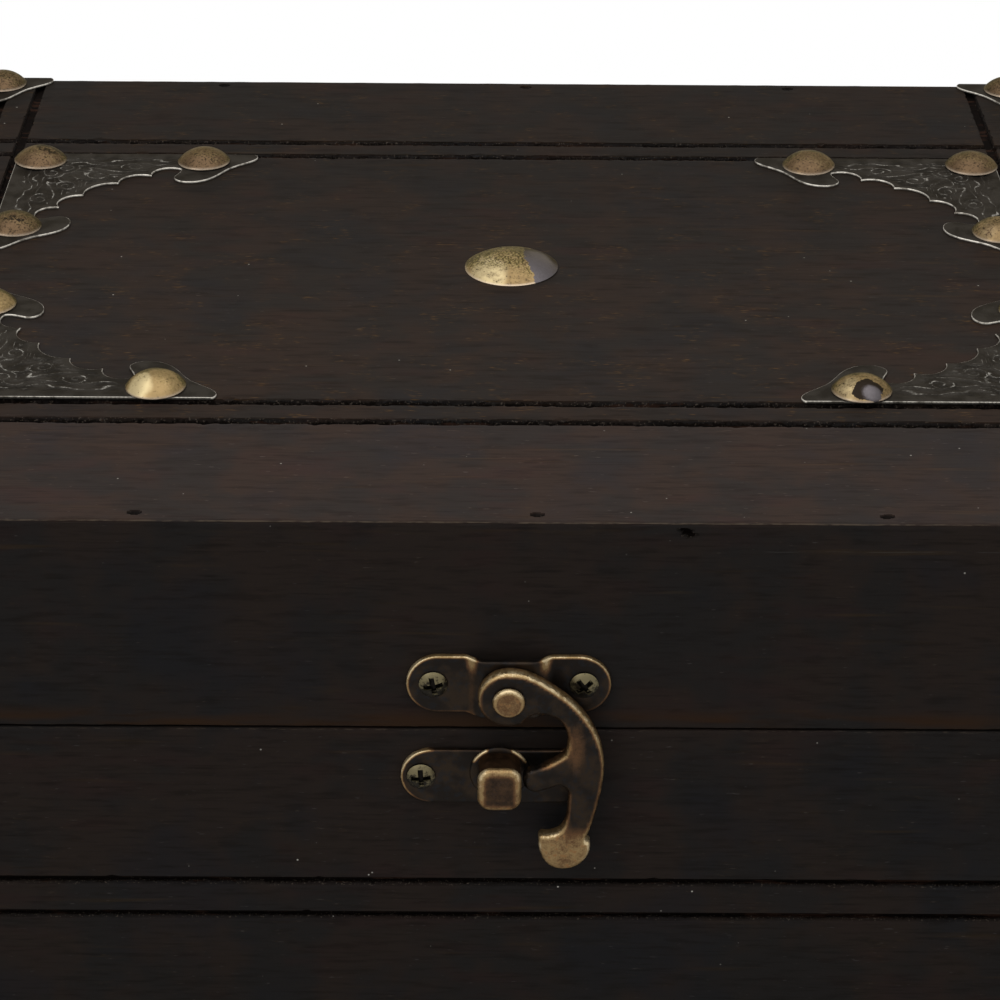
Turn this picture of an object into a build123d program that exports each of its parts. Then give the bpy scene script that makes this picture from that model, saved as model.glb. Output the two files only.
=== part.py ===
from build123d import *
import math
import os

# A small wooden treasure chest with a swing-hook latch, in millimetres.
# X runs along the front, Y from front to back, Z up. The origin is under the middle of the base.

# The chest as a whole
chest_width = 240.0
chest_depth = 164.0
chest_height = 95.0
lid_height = 31.85
seam_gap = 0.3
board_thickness = 8.0
top_board_thickness = 8.0
bottom_board_thickness = 5.0
edge_radius = 0.8
seam_edge_radius = 0.35
overrun = 2.0

# Double grooves that divide every face into panels
groove_width = 1.6
groove_depth = 1.1
groove_pitch = 6.0
panel_length = 164.0
panel_depth = 93.2
base_band_height = 32.2

# Headless nails in the woodwork
brad_diameter = 1.1
brad_length = 17.0
brad_sink = 0.9
brad_edge_distance = 2.2
front_brad_shares = (-0.207, 0.015, 0.208)
side_brad_shares = (-0.25, 0.25)
corner_brad_shares = (0.22, 0.78)

# Pressed corner plates
plate_leg = 40.4
plate_thickness = 0.45
plate_groove_overlap = 0.3
corner_nail_shares = (0.100, 0.078)
tip_nail_shares = (0.772, 0.083)

# Outline of one leg of a corner plate, from the corner outwards and back, in shares of the leg
plate_point_shares = ((0.978, 0.0), (0.990, 0.028), (0.965, 0.072), (0.908, 0.122))
plate_curl_shares = (
    (0.908, 0.122),
    (0.864, 0.176),
    (0.830, 0.234),
    (0.785, 0.280),
    (0.732, 0.297),
    (0.686, 0.286),
    (0.664, 0.255),
    (0.672, 0.222),
    (0.684, 0.160),
)
plate_cusp_shares = ((0.684, 0.160), (0.570, 0.233), (0.444, 0.316))
plate_scallop_rise = 1.8

# Domed nails
nail_head_diameter = 8.7
nail_head_height = 2.4
nail_shank_diameter = 1.7
nail_wood_left = 1.5
centre_nail_diameter = 14.4
centre_nail_height = 2.4
centre_nail_shank_diameter = 2.2
centre_nail_shift_x = 0.6
centre_nail_shift_y = 1.0
pin_clearance = 0.03

# Hook plate, with its raised bridge
latch_plate_thickness = 0.8
hook_plate_length = 27.7
hook_plate_height = 8.8
hook_plate_seam_distance = 2.9
bridge_width = 8.0
bridge_bend_run = 1.5
bridge_rise = 1.5
pivot_drop = 0.45

# Swing hook and its rivet
hook_thickness = 2.0
hook_axial_clearance = 0.1
hook_edge_chamfer = 0.35
hook_corner_radius = 0.5
hook_boss_radius = 4.15
prong_radius = 13.45
prong_width = 3.5
prong_tip_gap = 0.25
rivet_shank_radius = 1.25
rivet_running_clearance = 0.06
rivet_head_radius = 2.2
rivet_head_height = 0.85
rivet_edge_radius = 0.3
rivet_tail_radius = 1.9
rivet_tail_height = 0.5

# Outlines of the hook, measured from its pivot in shares of the prong's radius
hook_back_shares = ((0.372, 0.175), (0.699, -0.104), (0.900, -0.439), (0.970, -0.833), (0.922, -1.197))
hook_waist_share = (0.796, -1.672)
tab_shares = ((0.842, -1.700), (0.844, -1.803), (0.680, -2.007), (0.457, -2.000), (0.327, -1.784))
tab_horn_share = (0.327, -1.606)
hook_throat_shares = ((0.439, -1.613), (0.531, -1.568), (0.600, -1.420), (0.621, -1.115))
prong_root_share = (0.580, -1.040)
prong_root_angle = 27.0
mouth_angle = 41.5
mouth_shares = ((0.599, -0.446), (0.513, -0.242), (0.327, -0.167))
boss_foot_share = (0.141, -0.275)

# Keeper loop, its plate and the clearance round the prong
loop_clearance = 0.55
loop_wall = 1.0
loop_front_clearance = 0.25
loop_front_wall = 1.25
loop_width = 6.0
loop_edge_radius = 0.9
loop_shift_x = -1.15
loop_flange_radius = 4.1
loop_flange_thickness = 0.5
loop_tenon_radius = 1.4
keeper_plate_length = 26.5
keeper_plate_height = 8.5
keeper_plate_drop = 0.85
keeper_plate_shift = -0.3

# Screws of the latch
screw_head_radius = 1.95
screw_head_height = 0.75
screw_shank_radius = 0.95
screw_length = 6.4
screw_tip_length = 1.4
screw_clearance = 0.04
screw_slot_width = 0.6
screw_slot_length = 2.5
screw_slot_depth = 0.45
hook_screw_span = 20.4
keeper_screw_span = 20.9

# Hinges on the back
hinge_spread = 124.0
hinge_length = 25.4
hinge_leaf_height = 9.2
hinge_leaf_thickness = 0.8
hinge_barrel_radius = 2.0
hinge_barrel_gap = 0.2
hinge_pin_radius = 0.75
hinge_running_clearance = 0.05
hinge_knuckle_gap = 0.25
hinge_knuckle_share = 0.34
hinge_pin_head_radius = 1.1
hinge_pin_head_height = 0.5
hinge_screw_span = 16.0
hinge_corner_radius = 1.2

# Places that follow from the sizes above
half_width = chest_width / 2
half_depth = chest_depth / 2
base_height = chest_height - lid_height - seam_gap
lid_bottom = base_height + seam_gap
rail_top = chest_height - top_board_thickness
inner_depth = half_depth - board_thickness
inner_width = half_width - board_thickness
front_face = -half_depth
seam_height = base_height + seam_gap / 2
brad_radius = brad_diameter / 2
brad_hole_radius = brad_radius + pin_clearance

hook_plate_centre = lid_bottom + hook_plate_seam_distance + hook_plate_height / 2
pivot_height = hook_plate_centre - pivot_drop
bridge_front = bridge_rise + latch_plate_thickness
hook_back = bridge_front + hook_axial_clearance
hook_front = hook_back + hook_thickness
prong_inner = prong_radius - prong_width / 2
prong_outer = prong_radius + prong_width / 2
loop_centre_height = pivot_height - prong_radius
keeper_centre_height = loop_centre_height - keeper_plate_drop
keeper_centre_x = loop_shift_x + keeper_plate_shift

hinge_axis_depth = half_depth + hinge_barrel_radius + hinge_barrel_gap
hinge_centres = {"left": -hinge_spread / 2, "right": hinge_spread / 2}
corner_signs = {
    "front_left": (-1, -1),
    "front_right": (1, -1),
    "back_left": (-1, 1),
    "back_right": (1, 1),
}


def slab(x_range, y_range, z_range):
    """Box between two values on each axis."""
    sizes = [high - low for low, high in (x_range, y_range, z_range)]
    middles = [(high + low) / 2 for low, high in (x_range, y_range, z_range)]
    return Pos(*middles) * Box(*sizes)


def centred(middle, size):
    """Range of the given size about a middle."""
    return (middle - size / 2, middle + size / 2)


def groove_cutters():
    """Every groove, as boxes that lie in the faces they cut."""
    inside = groove_depth
    across_x = [side * (panel_length / 2 + step) for side in (-1, 1) for step in (0, groove_pitch)]
    across_y = [side * (panel_depth / 2 + step) for side in (-1, 1) for step in (0, groove_pitch)]
    across_z = [base_band_height, base_band_height + groove_pitch]
    whole_x = centred(0, chest_width + 2 * overrun)
    whole_y = centred(0, chest_depth + 2 * overrun)
    whole_z = (-overrun, chest_height + overrun)
    top = (chest_height - inside, chest_height + overrun)
    cutters = []
    for x in across_x:
        strip = centred(x, groove_width)
        cutters.append(slab(strip, whole_y, top))
        cutters.append(slab(strip, (-half_depth - overrun, -half_depth + inside), whole_z))
        cutters.append(slab(strip, (half_depth - inside, half_depth + overrun), whole_z))
    for y in across_y:
        strip = centred(y, groove_width)
        cutters.append(slab(whole_x, strip, top))
        cutters.append(slab((-half_width - overrun, -half_width + inside), strip, whole_z))
        cutters.append(slab((half_width - inside, half_width + overrun), strip, whole_z))
    for z in across_z:
        strip = centred(z, groove_width)
        cutters.append(slab(whole_x, (-half_depth - overrun, -half_depth + inside), strip))
        cutters.append(slab(whole_x, (half_depth - inside, half_depth + overrun), strip))
        cutters.append(slab((-half_width - overrun, -half_width + inside), whole_y, strip))
        cutters.append(slab((half_width - inside, half_width + overrun), whole_y, strip))
    return cutters


def cut(solid, cutters):
    """Solid less every cutter whose box meets its own."""
    own = solid.bounding_box()
    near = []
    for cutter in cutters:
        other = cutter.bounding_box()
        apart_x = other.min.X > own.max.X or other.max.X < own.min.X
        apart_y = other.min.Y > own.max.Y or other.max.Y < own.min.Y
        apart_z = other.min.Z > own.max.Z or other.max.Z < own.min.Z
        if not (apart_x or apart_y or apart_z):
            near.append(cutter)
    return solid - near if near else solid


def rod(start, direction, length, radius):
    """Round rod from a point along a direction."""
    plane = Plane(origin=start, z_dir=direction)
    return extrude(plane * Circle(radius), length)


def turned(points, start, direction):
    """Solid turned about a direction from a half outline of radius and height pairs."""
    outline = make_face(Plane.XZ * Polyline(*points, close=True))
    body = revolve(outline, Axis.Z, 360)
    return Plane(origin=start, z_dir=direction) * body


def round_edges(board, keep, radius):
    """Board with the straight edges chosen by a test rounded over."""
    chosen = [edge for edge in board.edges() if keep(edge.center())]
    return fillet(chosen, radius)


# Where every nail, brad and screw goes


def plate_corner(kind, sign_x, sign_y):
    """Corner of a plate on the top, and so the place it is set out from."""
    if kind == "outer":
        return (sign_x * half_width, sign_y * half_depth)
    edge = groove_width / 2 - plate_groove_overlap
    return (sign_x * (panel_length / 2 - edge), sign_y * (panel_depth / 2 - edge))


def plate_nail_places(kind, sign_x, sign_y):
    """The three nails of a plate: one at the corner and one near each point."""
    corner_x, corner_y = plate_corner(kind, sign_x, sign_y)
    tip = tip_nail_shares
    shares = (corner_nail_shares, tip, (tip[1], tip[0]))
    return [(corner_x - sign_x * u * plate_leg, corner_y - sign_y * v * plate_leg) for u, v in shares]


def all_nail_places():
    """Every small domed nail on the lid."""
    places = []
    for kind in ("inner", "outer"):
        for signs in corner_signs.values():
            places.extend(plate_nail_places(kind, *signs))
    return places


def top_brad_places():
    """Brads driven down through the edge of the top board."""
    along = half_depth - brad_edge_distance
    across = half_width - brad_edge_distance
    places = [(share * chest_width, side * along) for side in (-1, 1) for share in front_brad_shares]
    places += [(side * across, share * chest_depth) for side in (-1, 1) for share in side_brad_shares]
    return places


def corner_brad_places(bottom, height, shares):
    """Brads driven through the front and back into the ends of the sides."""
    across = half_width - board_thickness / 2
    return [
        (side_x * across, side_y, bottom + share * height)
        for side_x in (-1, 1)
        for side_y in (-1, 1)
        for share in shares
    ]


lid_corner_brads = corner_brad_places(lid_bottom, rail_top - lid_bottom, (sum(corner_brad_shares) / 2,))
base_corner_brads = corner_brad_places(0, base_height, corner_brad_shares)


def top_brads(start_lift, radius):
    """Brads, or their holes, under the top's surface."""
    top = chest_height - brad_sink + start_lift
    length = brad_length + start_lift
    return [rod((x, y, top), (0, 0, -1), length, radius) for x, y in top_brad_places()]


def corner_brads(places, start_lift, radius):
    """Brads, or their holes, at the corners."""
    depth = half_depth - brad_sink + start_lift
    length = brad_length + start_lift
    return [rod((x, side * depth, z), (0, -side, 0), length, radius) for x, side, z in places]


def screw_places(kind):
    """Head seat and inward direction of each screw."""
    if kind == "hook_plate":
        face = front_face - latch_plate_thickness
        half = hook_screw_span / 2
        return [((side * half, face, hook_plate_centre), (0, 1, 0)) for side in (-1, 1)]
    if kind == "keeper_plate":
        face = front_face - latch_plate_thickness
        half = keeper_screw_span / 2
        places = [keeper_centre_x + side * half for side in (-1, 1)]
        return [((x, face, keeper_centre_height), (0, 1, 0)) for x in places]
    face = half_depth + hinge_leaf_thickness
    side_z = 1 if kind == "hinge_lid" else -1
    middle = (hinge_leaf_start() + hinge_leaf_height) / 2
    places = [centre + side * hinge_screw_span / 2 for centre in hinge_centres.values() for side in (-1, 1)]
    return [((x, face, seam_height + side_z * middle), (0, -1, 0)) for x in places]


def hinge_leaf_start():
    """Distance from the hinge axis at which a leaf clears the other leaf's knuckles."""
    inner = hinge_barrel_radius + hinge_barrel_gap - hinge_leaf_thickness
    reach = math.sqrt(max(hinge_barrel_radius**2 - inner**2, 0))
    return reach + hinge_knuckle_gap


def screw(seat, inward):
    """Small cross-head screw with a domed head and a plain tapered end."""
    outward = tuple(-part for part in inward)
    shank = rod(seat, inward, screw_length - screw_tip_length, screw_shank_radius)
    tip_start = Vector(*seat) + Vector(*inward) * (screw_length - screw_tip_length)
    blunt = screw_shank_radius / 3
    tip_outline = ((0, 0), (screw_shank_radius, 0), (blunt, screw_tip_length), (0, screw_tip_length))
    tip = turned(tip_outline, tuple(tip_start), inward)
    head = dome(screw_head_radius, screw_head_height, seat, outward)
    top = Vector(*seat) + Vector(*outward) * (screw_head_height - screw_slot_depth)
    slots = []
    for turn in (0, 90):
        bar = Rot(0, 0, turn) * Box(screw_slot_length, screw_slot_width, 2 * screw_slot_depth)
        slots.append(Plane(origin=tuple(top), z_dir=outward) * Pos(0, 0, screw_slot_depth) * bar)
    return head + shank + tip - slots


def screw_holes(kinds):
    """Holes for the shanks of the screws of the given kinds."""
    holes = []
    for kind in kinds:
        for seat, inward in screw_places(kind):
            start = Vector(*seat) - Vector(*inward) * overrun
            length = screw_length + overrun + screw_clearance
            holes.append(rod(tuple(start), inward, length, screw_shank_radius + screw_clearance))
    return holes


def dome(radius, height, start, direction):
    """Cap of a ball on a flat round face."""
    ball = (radius**2 + height**2) / (2 * height)
    lean = math.asin(min(radius / ball, 1)) / 2
    middle = (ball * math.sin(lean), height - ball * (1 - math.cos(lean)))
    with BuildLine(Plane.XZ) as outline:
        Line((0, height), (0, 0))
        Line((0, 0), (radius, 0))
        ThreePointArc((radius, 0), middle, (0, height))
    body = revolve(make_face(outline.line), Axis.Z, 360)
    return Plane(origin=start, z_dir=direction) * body


def nail_shank_length():
    """Shank from under the head to just short of the underside of the top board."""
    return top_board_thickness + plate_thickness - nail_wood_left


# Wooden boards


def lid_top_board():
    """Top board with its grooves, nail holes and brad holes."""
    board = slab(centred(0, chest_width), centred(0, chest_depth), (rail_top, chest_height))
    board = round_edges(board, lambda c: c.Z > rail_top and outer_edge(c), edge_radius)
    holes = [nail_hole(x, y, nail_shank_diameter) for x, y in all_nail_places()]
    holes.append(nail_hole(centre_nail_shift_x, centre_nail_shift_y, centre_nail_shank_diameter))
    holes += top_brads(brad_sink + overrun, brad_hole_radius)
    return cut(board, groove_cutters() + holes)


def on_side(centre):
    """True for an edge in the left or right face of the chest."""
    return abs(abs(centre.X) - half_width) < edge_radius


def on_front(centre):
    """True for an edge in the front or back face of the chest."""
    return abs(abs(centre.Y) - half_depth) < edge_radius


def outer_edge(centre):
    """True for an edge in any of the four upright faces."""
    return on_side(centre) or on_front(centre)


def upright_corner(centre):
    """True for an upright edge at a corner of the chest."""
    return on_side(centre) and on_front(centre)


def nail_hole(x, y, diameter):
    """Hole for the shank of a nail, open at the top."""
    start = (x, y, chest_height + overrun)
    length = overrun + nail_shank_length() - plate_thickness + pin_clearance
    return rod(start, (0, 0, -1), length, diameter / 2 + pin_clearance)


def wall(name, bottom, top, seam):
    """One upright board of the base or the lid, with its worn edge at the seam."""
    side = -1 if name in ("front", "left") else 1
    if name in ("front", "back"):
        y_range = sorted((side * half_depth, side * inner_depth))
        board = slab(centred(0, chest_width), y_range, (bottom, top))
        board = round_edges(board, upright_corner, edge_radius)
    else:
        x_range = sorted((side * half_width, side * inner_width))
        board = slab(x_range, centred(0, 2 * inner_depth), (bottom, top))
    at_seam = seam_edge_radius / 2
    board = round_edges(board, lambda c: abs(c.Z - seam) < at_seam and outer_edge(c), seam_edge_radius)
    holes = groove_cutters()
    holes += top_brads(brad_sink + overrun, brad_hole_radius)
    for places in (lid_corner_brads, base_corner_brads):
        holes += corner_brads(places, brad_sink + overrun, brad_hole_radius)
    holes += screw_holes(("hook_plate", "keeper_plate", "hinge_base", "hinge_lid"))
    return cut(board, holes)


def base_bottom_board():
    """Floor board between the four walls."""
    return slab(centred(0, 2 * inner_width), centred(0, 2 * inner_depth), (0, bottom_board_thickness))


# Corner plates and domed nails


def scaled(shares, size):
    """Places from a table of shares."""
    return [(u * size, v * size) for u, v in shares]


def bite(start, end):
    """Arc between two cusps that curves in towards the plate's corner."""
    middle = ((start[0] + end[0]) / 2, (start[1] + end[1]) / 2)
    run = math.dist(start, end)
    inward = ((end[1] - start[1]) / run, -(end[0] - start[0]) / run)
    if inward[0] + inward[1] > 0:
        inward = (-inward[0], -inward[1])
    rise = min(plate_scallop_rise, run / 3)
    return (middle[0] + inward[0] * rise, middle[1] + inward[1] * rise)


def corner_plate_face():
    """Flat outline of a plate with its right angle at the origin and its legs along X and Y."""
    point = scaled(plate_point_shares, plate_leg)
    curl = scaled(plate_curl_shares, plate_leg)
    cusps = scaled(plate_cusp_shares, plate_leg)
    mirrored = [(v, u) for u, v in reversed(cusps)]
    scallops = cusps + mirrored
    with BuildLine() as outline:
        Line((0, 0), point[0])
        Spline(*point)
        Spline(*curl)
        for start, end in zip(scallops, scallops[1:]):
            ThreePointArc(start, bite(start, end), end)
        Spline(*[(v, u) for u, v in reversed(curl)])
        Spline(*[(v, u) for u, v in reversed(point)])
        Line((0, point[0][0]), (0, 0))
    return make_face(outline.line)


def corner_plate(kind, sign_x, sign_y):
    """One pressed plate, nailed flat on the top board."""
    face = corner_plate_face()
    if sign_x > 0:
        face = mirror(face, Plane.YZ)
    if sign_y > 0:
        face = mirror(face, Plane.XZ)
    corner_x, corner_y = plate_corner(kind, sign_x, sign_y)
    sheet = extrude(Pos(corner_x, corner_y, chest_height) * face, plate_thickness, dir=(0, 0, 1))
    holes = [nail_hole(x, y, nail_shank_diameter) for x, y in plate_nail_places(kind, sign_x, sign_y)]
    return sheet - holes


def domed_nail(x, y, seat, diameter, height, shank_diameter, shank_length):
    """Nail with a domed head and a plain shank."""
    head = dome(diameter / 2, height, (x, y, seat), (0, 0, 1))
    shank = rod((x, y, seat), (0, 0, -1), shank_length, shank_diameter / 2)
    return head + shank


def corner_plate_nails():
    """All the small domed nails."""
    seat = chest_height + plate_thickness
    sizes = (nail_head_diameter, nail_head_height, nail_shank_diameter, nail_shank_length())
    return [domed_nail(x, y, seat, *sizes) for x, y in all_nail_places()]


def centre_nail():
    """The large domed nail, seated on the wood."""
    length = nail_shank_length() - plate_thickness
    sizes = (centre_nail_diameter, centre_nail_height, centre_nail_shank_diameter, length)
    return domed_nail(centre_nail_shift_x, centre_nail_shift_y, chest_height, *sizes)


# Latch


def from_front(face, x, z, start, thickness):
    """Flat outline drawn as seen from the front, set proud of the front face and given a thickness."""
    plane = Plane(origin=(x, front_face - start, z), x_dir=(1, 0, 0), z_dir=(0, -1, 0))
    return extrude(plane * face, thickness)


def hook_plate():
    """Plate with round ends whose middle rises as a bridge behind the hook."""
    half = hook_plate_length / 2
    top = bridge_width / 2
    foot = top + bridge_bend_run
    bend = math.atan2(bridge_rise, bridge_bend_run)
    shift = latch_plate_thickness * math.tan(bend / 2)
    low = [(-half, 0), (-foot, 0), (-top, bridge_rise), (top, bridge_rise), (foot, 0), (half, 0)]
    high = [
        (half, latch_plate_thickness),
        (foot + shift, latch_plate_thickness),
        (top + shift, bridge_front),
        (-top - shift, bridge_front),
        (-foot - shift, latch_plate_thickness),
        (-half, latch_plate_thickness),
    ]
    outline = Polyline(*[(x, front_face - rise) for x, rise in low + high], close=True)
    strip_bottom = hook_plate_centre - hook_plate_height / 2
    strip = extrude(Pos(0, 0, strip_bottom) * make_face(outline), hook_plate_height, dir=(0, 0, 1))
    ends = SlotOverall(hook_plate_length, hook_plate_height)
    plate = strip & from_front(ends, 0, hook_plate_centre, -overrun, bridge_front + 2 * overrun)
    hole = Circle(rivet_shank_radius + pin_clearance)
    rivet_hole = from_front(hole, 0, pivot_height, 0, bridge_front + overrun)
    return plate - rivet_hole - screw_holes(("hook_plate",))


def keeper_plate():
    """Flat plate with round ends and a hole for the tenon of the loop."""
    outline = SlotOverall(keeper_plate_length, keeper_plate_height)
    plate = from_front(outline, keeper_centre_x, keeper_centre_height, 0, latch_plate_thickness)
    hole = Circle(loop_tenon_radius + pin_clearance)
    tenon_hole = from_front(hole, loop_shift_x, loop_centre_height, 0, latch_plate_thickness + overrun)
    return plate - tenon_hole - screw_holes(("keeper_plate",))


def keeper_loop():
    """Cast loop, open to left and right, on a round flange with a tenon behind."""
    opening = prong_width + 2 * loop_clearance
    flange_front = latch_plate_thickness + loop_flange_thickness
    inside_front = hook_front + loop_front_clearance
    outside_front = inside_front + loop_front_wall
    place = (loop_shift_x, loop_centre_height)
    outside = Rectangle(loop_width, opening + 2 * loop_wall)
    block = from_front(outside, *place, flange_front, outside_front - flange_front)
    face_y = front_face - outside_front
    front_edges = [edge for edge in block.edges() if abs(edge.center().Y - face_y) < loop_front_wall / 4]
    block = fillet(front_edges, min(loop_edge_radius, loop_front_wall))
    inside = Rectangle(loop_width + 2 * overrun, opening)
    window = from_front(inside, *place, flange_front, inside_front - flange_front)
    flange = from_front(Circle(loop_flange_radius), *place, latch_plate_thickness, loop_flange_thickness)
    tenon = from_front(Circle(loop_tenon_radius), *place, 0, latch_plate_thickness)
    return block - window + flange + tenon


def on_circle(radius, angle):
    """Place on a circle about the pivot, from straight down towards the right."""
    turn = math.radians(angle)
    return (radius * math.sin(turn), -radius * math.cos(turn))


def hook_face():
    """Outline of the hook as seen from the front, with its pivot at the origin."""
    back = scaled(hook_back_shares, prong_radius)
    waist = scaled((hook_waist_share,), prong_radius)[0]
    tab = scaled(tab_shares, prong_radius)
    horn = scaled((tab_horn_share,), prong_radius)[0]
    throat = scaled(hook_throat_shares, prong_radius)
    root = scaled((prong_root_share,), prong_radius)[0]
    mouth = scaled(mouth_shares, prong_radius)
    foot = scaled((boss_foot_share,), prong_radius)[0]
    foot_size = hook_boss_radius / math.hypot(*foot)
    foot = (foot[0] * foot_size, foot[1] * foot_size)
    tip_x = loop_shift_x + loop_width / 2 + prong_tip_gap
    tip_angle = math.degrees(math.asin(min(tip_x / prong_radius, 1)))
    end_angle = tip_angle + math.degrees(prong_width / 2 / prong_radius)
    lower_root = on_circle(prong_outer, prong_root_angle)
    lower_tip = on_circle(prong_outer, end_angle)
    upper_tip = on_circle(prong_inner, end_angle)
    upper_root = on_circle(prong_inner, mouth_angle)
    boss_top = (0, hook_boss_radius)
    with BuildLine() as outline:
        Spline(boss_top, *back, waist, tangents=[(1, 0), (-1, -3)])
        Line(waist, tab[0])
        Spline(*tab, horn)
        Spline(horn, *throat)
        ThreePointArc(throat[-1], root, lower_root)
        ThreePointArc(lower_root, on_circle(prong_outer, (prong_root_angle + end_angle) / 2), lower_tip)
        ThreePointArc(lower_tip, on_circle(prong_radius, tip_angle), upper_tip)
        ThreePointArc(upper_tip, on_circle(prong_inner, (mouth_angle + end_angle) / 2), upper_root)
        Spline(upper_root, *mouth, foot)
        ThreePointArc(foot, on_circle(hook_boss_radius, -90), boss_top)
    corners = [waist, tab[0], horn, throat[-1], lower_root, upper_root, foot]
    face = make_face(outline.line)
    sharp = [min(face.vertices(), key=lambda v: math.dist((v.X, v.Y), corner)) for corner in corners]
    return fillet(sharp, hook_corner_radius)


def swing_hook():
    """Flat cast hook with a bored boss, a prong and a thumb tab."""
    body = from_front(hook_face(), 0, pivot_height, hook_back, hook_thickness)
    face_y = front_face - hook_front
    front_edges = [edge for edge in body.edges() if abs(edge.center().Y - face_y) < hook_edge_chamfer / 2]
    body = chamfer(front_edges, hook_edge_chamfer)
    bore = rivet_shank_radius + rivet_running_clearance
    return body - from_front(Circle(bore), 0, pivot_height, 0, hook_front + overrun)


def hook_rivet():
    """Rivet through the hook and the bridge, headed in front and closed behind."""
    head_back = hook_front + hook_axial_clearance
    tail_back = bridge_rise - rivet_tail_height
    shank = from_front(Circle(rivet_shank_radius), 0, pivot_height, tail_back, head_back - tail_back)
    head = from_front(Circle(rivet_head_radius), 0, pivot_height, head_back, rivet_head_height)
    head = fillet(head.edges().sort_by(Axis.Y)[0], rivet_edge_radius)
    tail = from_front(Circle(rivet_tail_radius), 0, pivot_height, tail_back, rivet_tail_height)
    return shank + head + tail


# Hinges


def hinge_barrel(middle, length, radius):
    """Round bar along the hinge axis."""
    start = (middle - length / 2, hinge_axis_depth, seam_height)
    return rod(start, (1, 0, 0), length, radius)


def knuckle_spans(centre):
    """Middle and length of the left, middle and right knuckles."""
    middle_length = hinge_length * hinge_knuckle_share
    side_length = (hinge_length - middle_length) / 2 - hinge_knuckle_gap
    offset = middle_length / 2 + hinge_knuckle_gap + side_length / 2
    return [(centre - offset, side_length), (centre, middle_length), (centre + offset, side_length)]


def hinge_leaf(centre, direction):
    """Leaf above or below the axis: the lid's has the middle knuckle, the base's the outer two."""
    spans = knuckle_spans(centre)
    mine = [spans[1]] if direction > 0 else [spans[0], spans[2]]
    start = hinge_leaf_start()
    leaf_y = (half_depth, half_depth + hinge_leaf_thickness)
    z_range = sorted((seam_height + direction * start, seam_height + direction * hinge_leaf_height))
    leaf = slab(centred(centre, hinge_length), leaf_y, z_range)
    far = seam_height + direction * hinge_leaf_height
    nearness = hinge_corner_radius / 4
    ends = [edge for edge in leaf.edges() if abs(edge.center().Z - far) < nearness]
    corners = [edge for edge in ends if abs(abs(edge.center().X - centre) - hinge_length / 2) < nearness]
    leaf = fillet(corners, hinge_corner_radius)
    for middle, length in mine:
        neck_z = sorted((seam_height, seam_height + direction * (start + hinge_leaf_thickness)))
        neck = slab(centred(middle, length), leaf_y, neck_z)
        leaf += neck + hinge_barrel(middle, length, hinge_barrel_radius)
    bore = hinge_barrel(centre, hinge_length + 2 * overrun, hinge_pin_radius + hinge_running_clearance)
    kind = "hinge_lid" if direction > 0 else "hinge_base"
    return cut(leaf, [bore] + screw_holes((kind,)))


def hinge_pin(centre):
    """Pin with a small flat head beyond each end of the barrel."""
    pin = hinge_barrel(centre, hinge_length, hinge_pin_radius)
    offset = hinge_length / 2 + hinge_pin_head_height / 2
    for side in (-1, 1):
        pin += hinge_barrel(centre + side * offset, hinge_pin_head_height, hinge_pin_head_radius)
    return pin


def save(name, shape):
    """Write one node, a solid or a group of like solids."""
    if isinstance(shape, list):
        shape = Compound(children=shape)
    shape.label = name
    export_step(shape, os.path.join("parts", name + ".step"))


os.makedirs("parts", exist_ok=True)

for side_name in ("front", "back", "left", "right"):
    save(f"base_{side_name}_board", wall(side_name, 0, base_height, base_height))
    save(f"lid_{side_name}_rail", wall(side_name, lid_bottom, rail_top, lid_bottom))
save("base_bottom_board", base_bottom_board())
save("base_brads", corner_brads(base_corner_brads, 0, brad_radius))
save("lid_top_board", lid_top_board())
save("lid_brads", top_brads(0, brad_radius) + corner_brads(lid_corner_brads, 0, brad_radius))

for plate_kind in ("inner", "outer"):
    for corner_name, signs in corner_signs.items():
        save(f"{plate_kind}_corner_plate_{corner_name}", corner_plate(plate_kind, *signs))
save("corner_plate_nails", corner_plate_nails())
save("centre_nail", centre_nail())

save("hook_plate", hook_plate())
save("hook_rivet", hook_rivet())
save("swing_hook", swing_hook())
save("keeper_plate", keeper_plate())
save("keeper_loop", keeper_loop())
for screw_kind in ("hook_plate", "keeper_plate", "hinge_base", "hinge_lid"):
    save(f"{screw_kind}_screws", [screw(*place) for place in screw_places(screw_kind)])

for hinge_name, hinge_centre in hinge_centres.items():
    save(f"hinge_base_leaf_{hinge_name}", hinge_leaf(hinge_centre, -1))
    save(f"hinge_lid_leaf_{hinge_name}", hinge_leaf(hinge_centre, 1))
    save(f"hinge_pin_{hinge_name}", hinge_pin(hinge_centre))
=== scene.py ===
import math
import random

import bmesh
import bpy
from mathutils import Matrix, Vector, kdtree, noise


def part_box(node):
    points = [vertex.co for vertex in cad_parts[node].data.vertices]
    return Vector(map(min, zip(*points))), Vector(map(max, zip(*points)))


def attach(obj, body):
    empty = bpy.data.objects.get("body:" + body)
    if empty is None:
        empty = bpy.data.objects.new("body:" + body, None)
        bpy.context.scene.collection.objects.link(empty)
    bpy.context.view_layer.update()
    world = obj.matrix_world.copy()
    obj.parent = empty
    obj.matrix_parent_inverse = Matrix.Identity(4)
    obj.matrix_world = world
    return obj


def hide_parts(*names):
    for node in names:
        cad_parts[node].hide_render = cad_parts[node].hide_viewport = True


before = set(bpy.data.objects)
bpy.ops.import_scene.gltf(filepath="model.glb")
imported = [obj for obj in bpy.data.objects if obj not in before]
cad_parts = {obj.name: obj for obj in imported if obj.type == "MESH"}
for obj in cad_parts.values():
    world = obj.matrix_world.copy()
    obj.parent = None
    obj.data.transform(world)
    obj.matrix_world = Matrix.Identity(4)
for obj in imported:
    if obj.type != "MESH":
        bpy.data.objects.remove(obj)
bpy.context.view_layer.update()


# Camera
# A long lens in front of the latch and above the lid, looking down on the chest.

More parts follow.
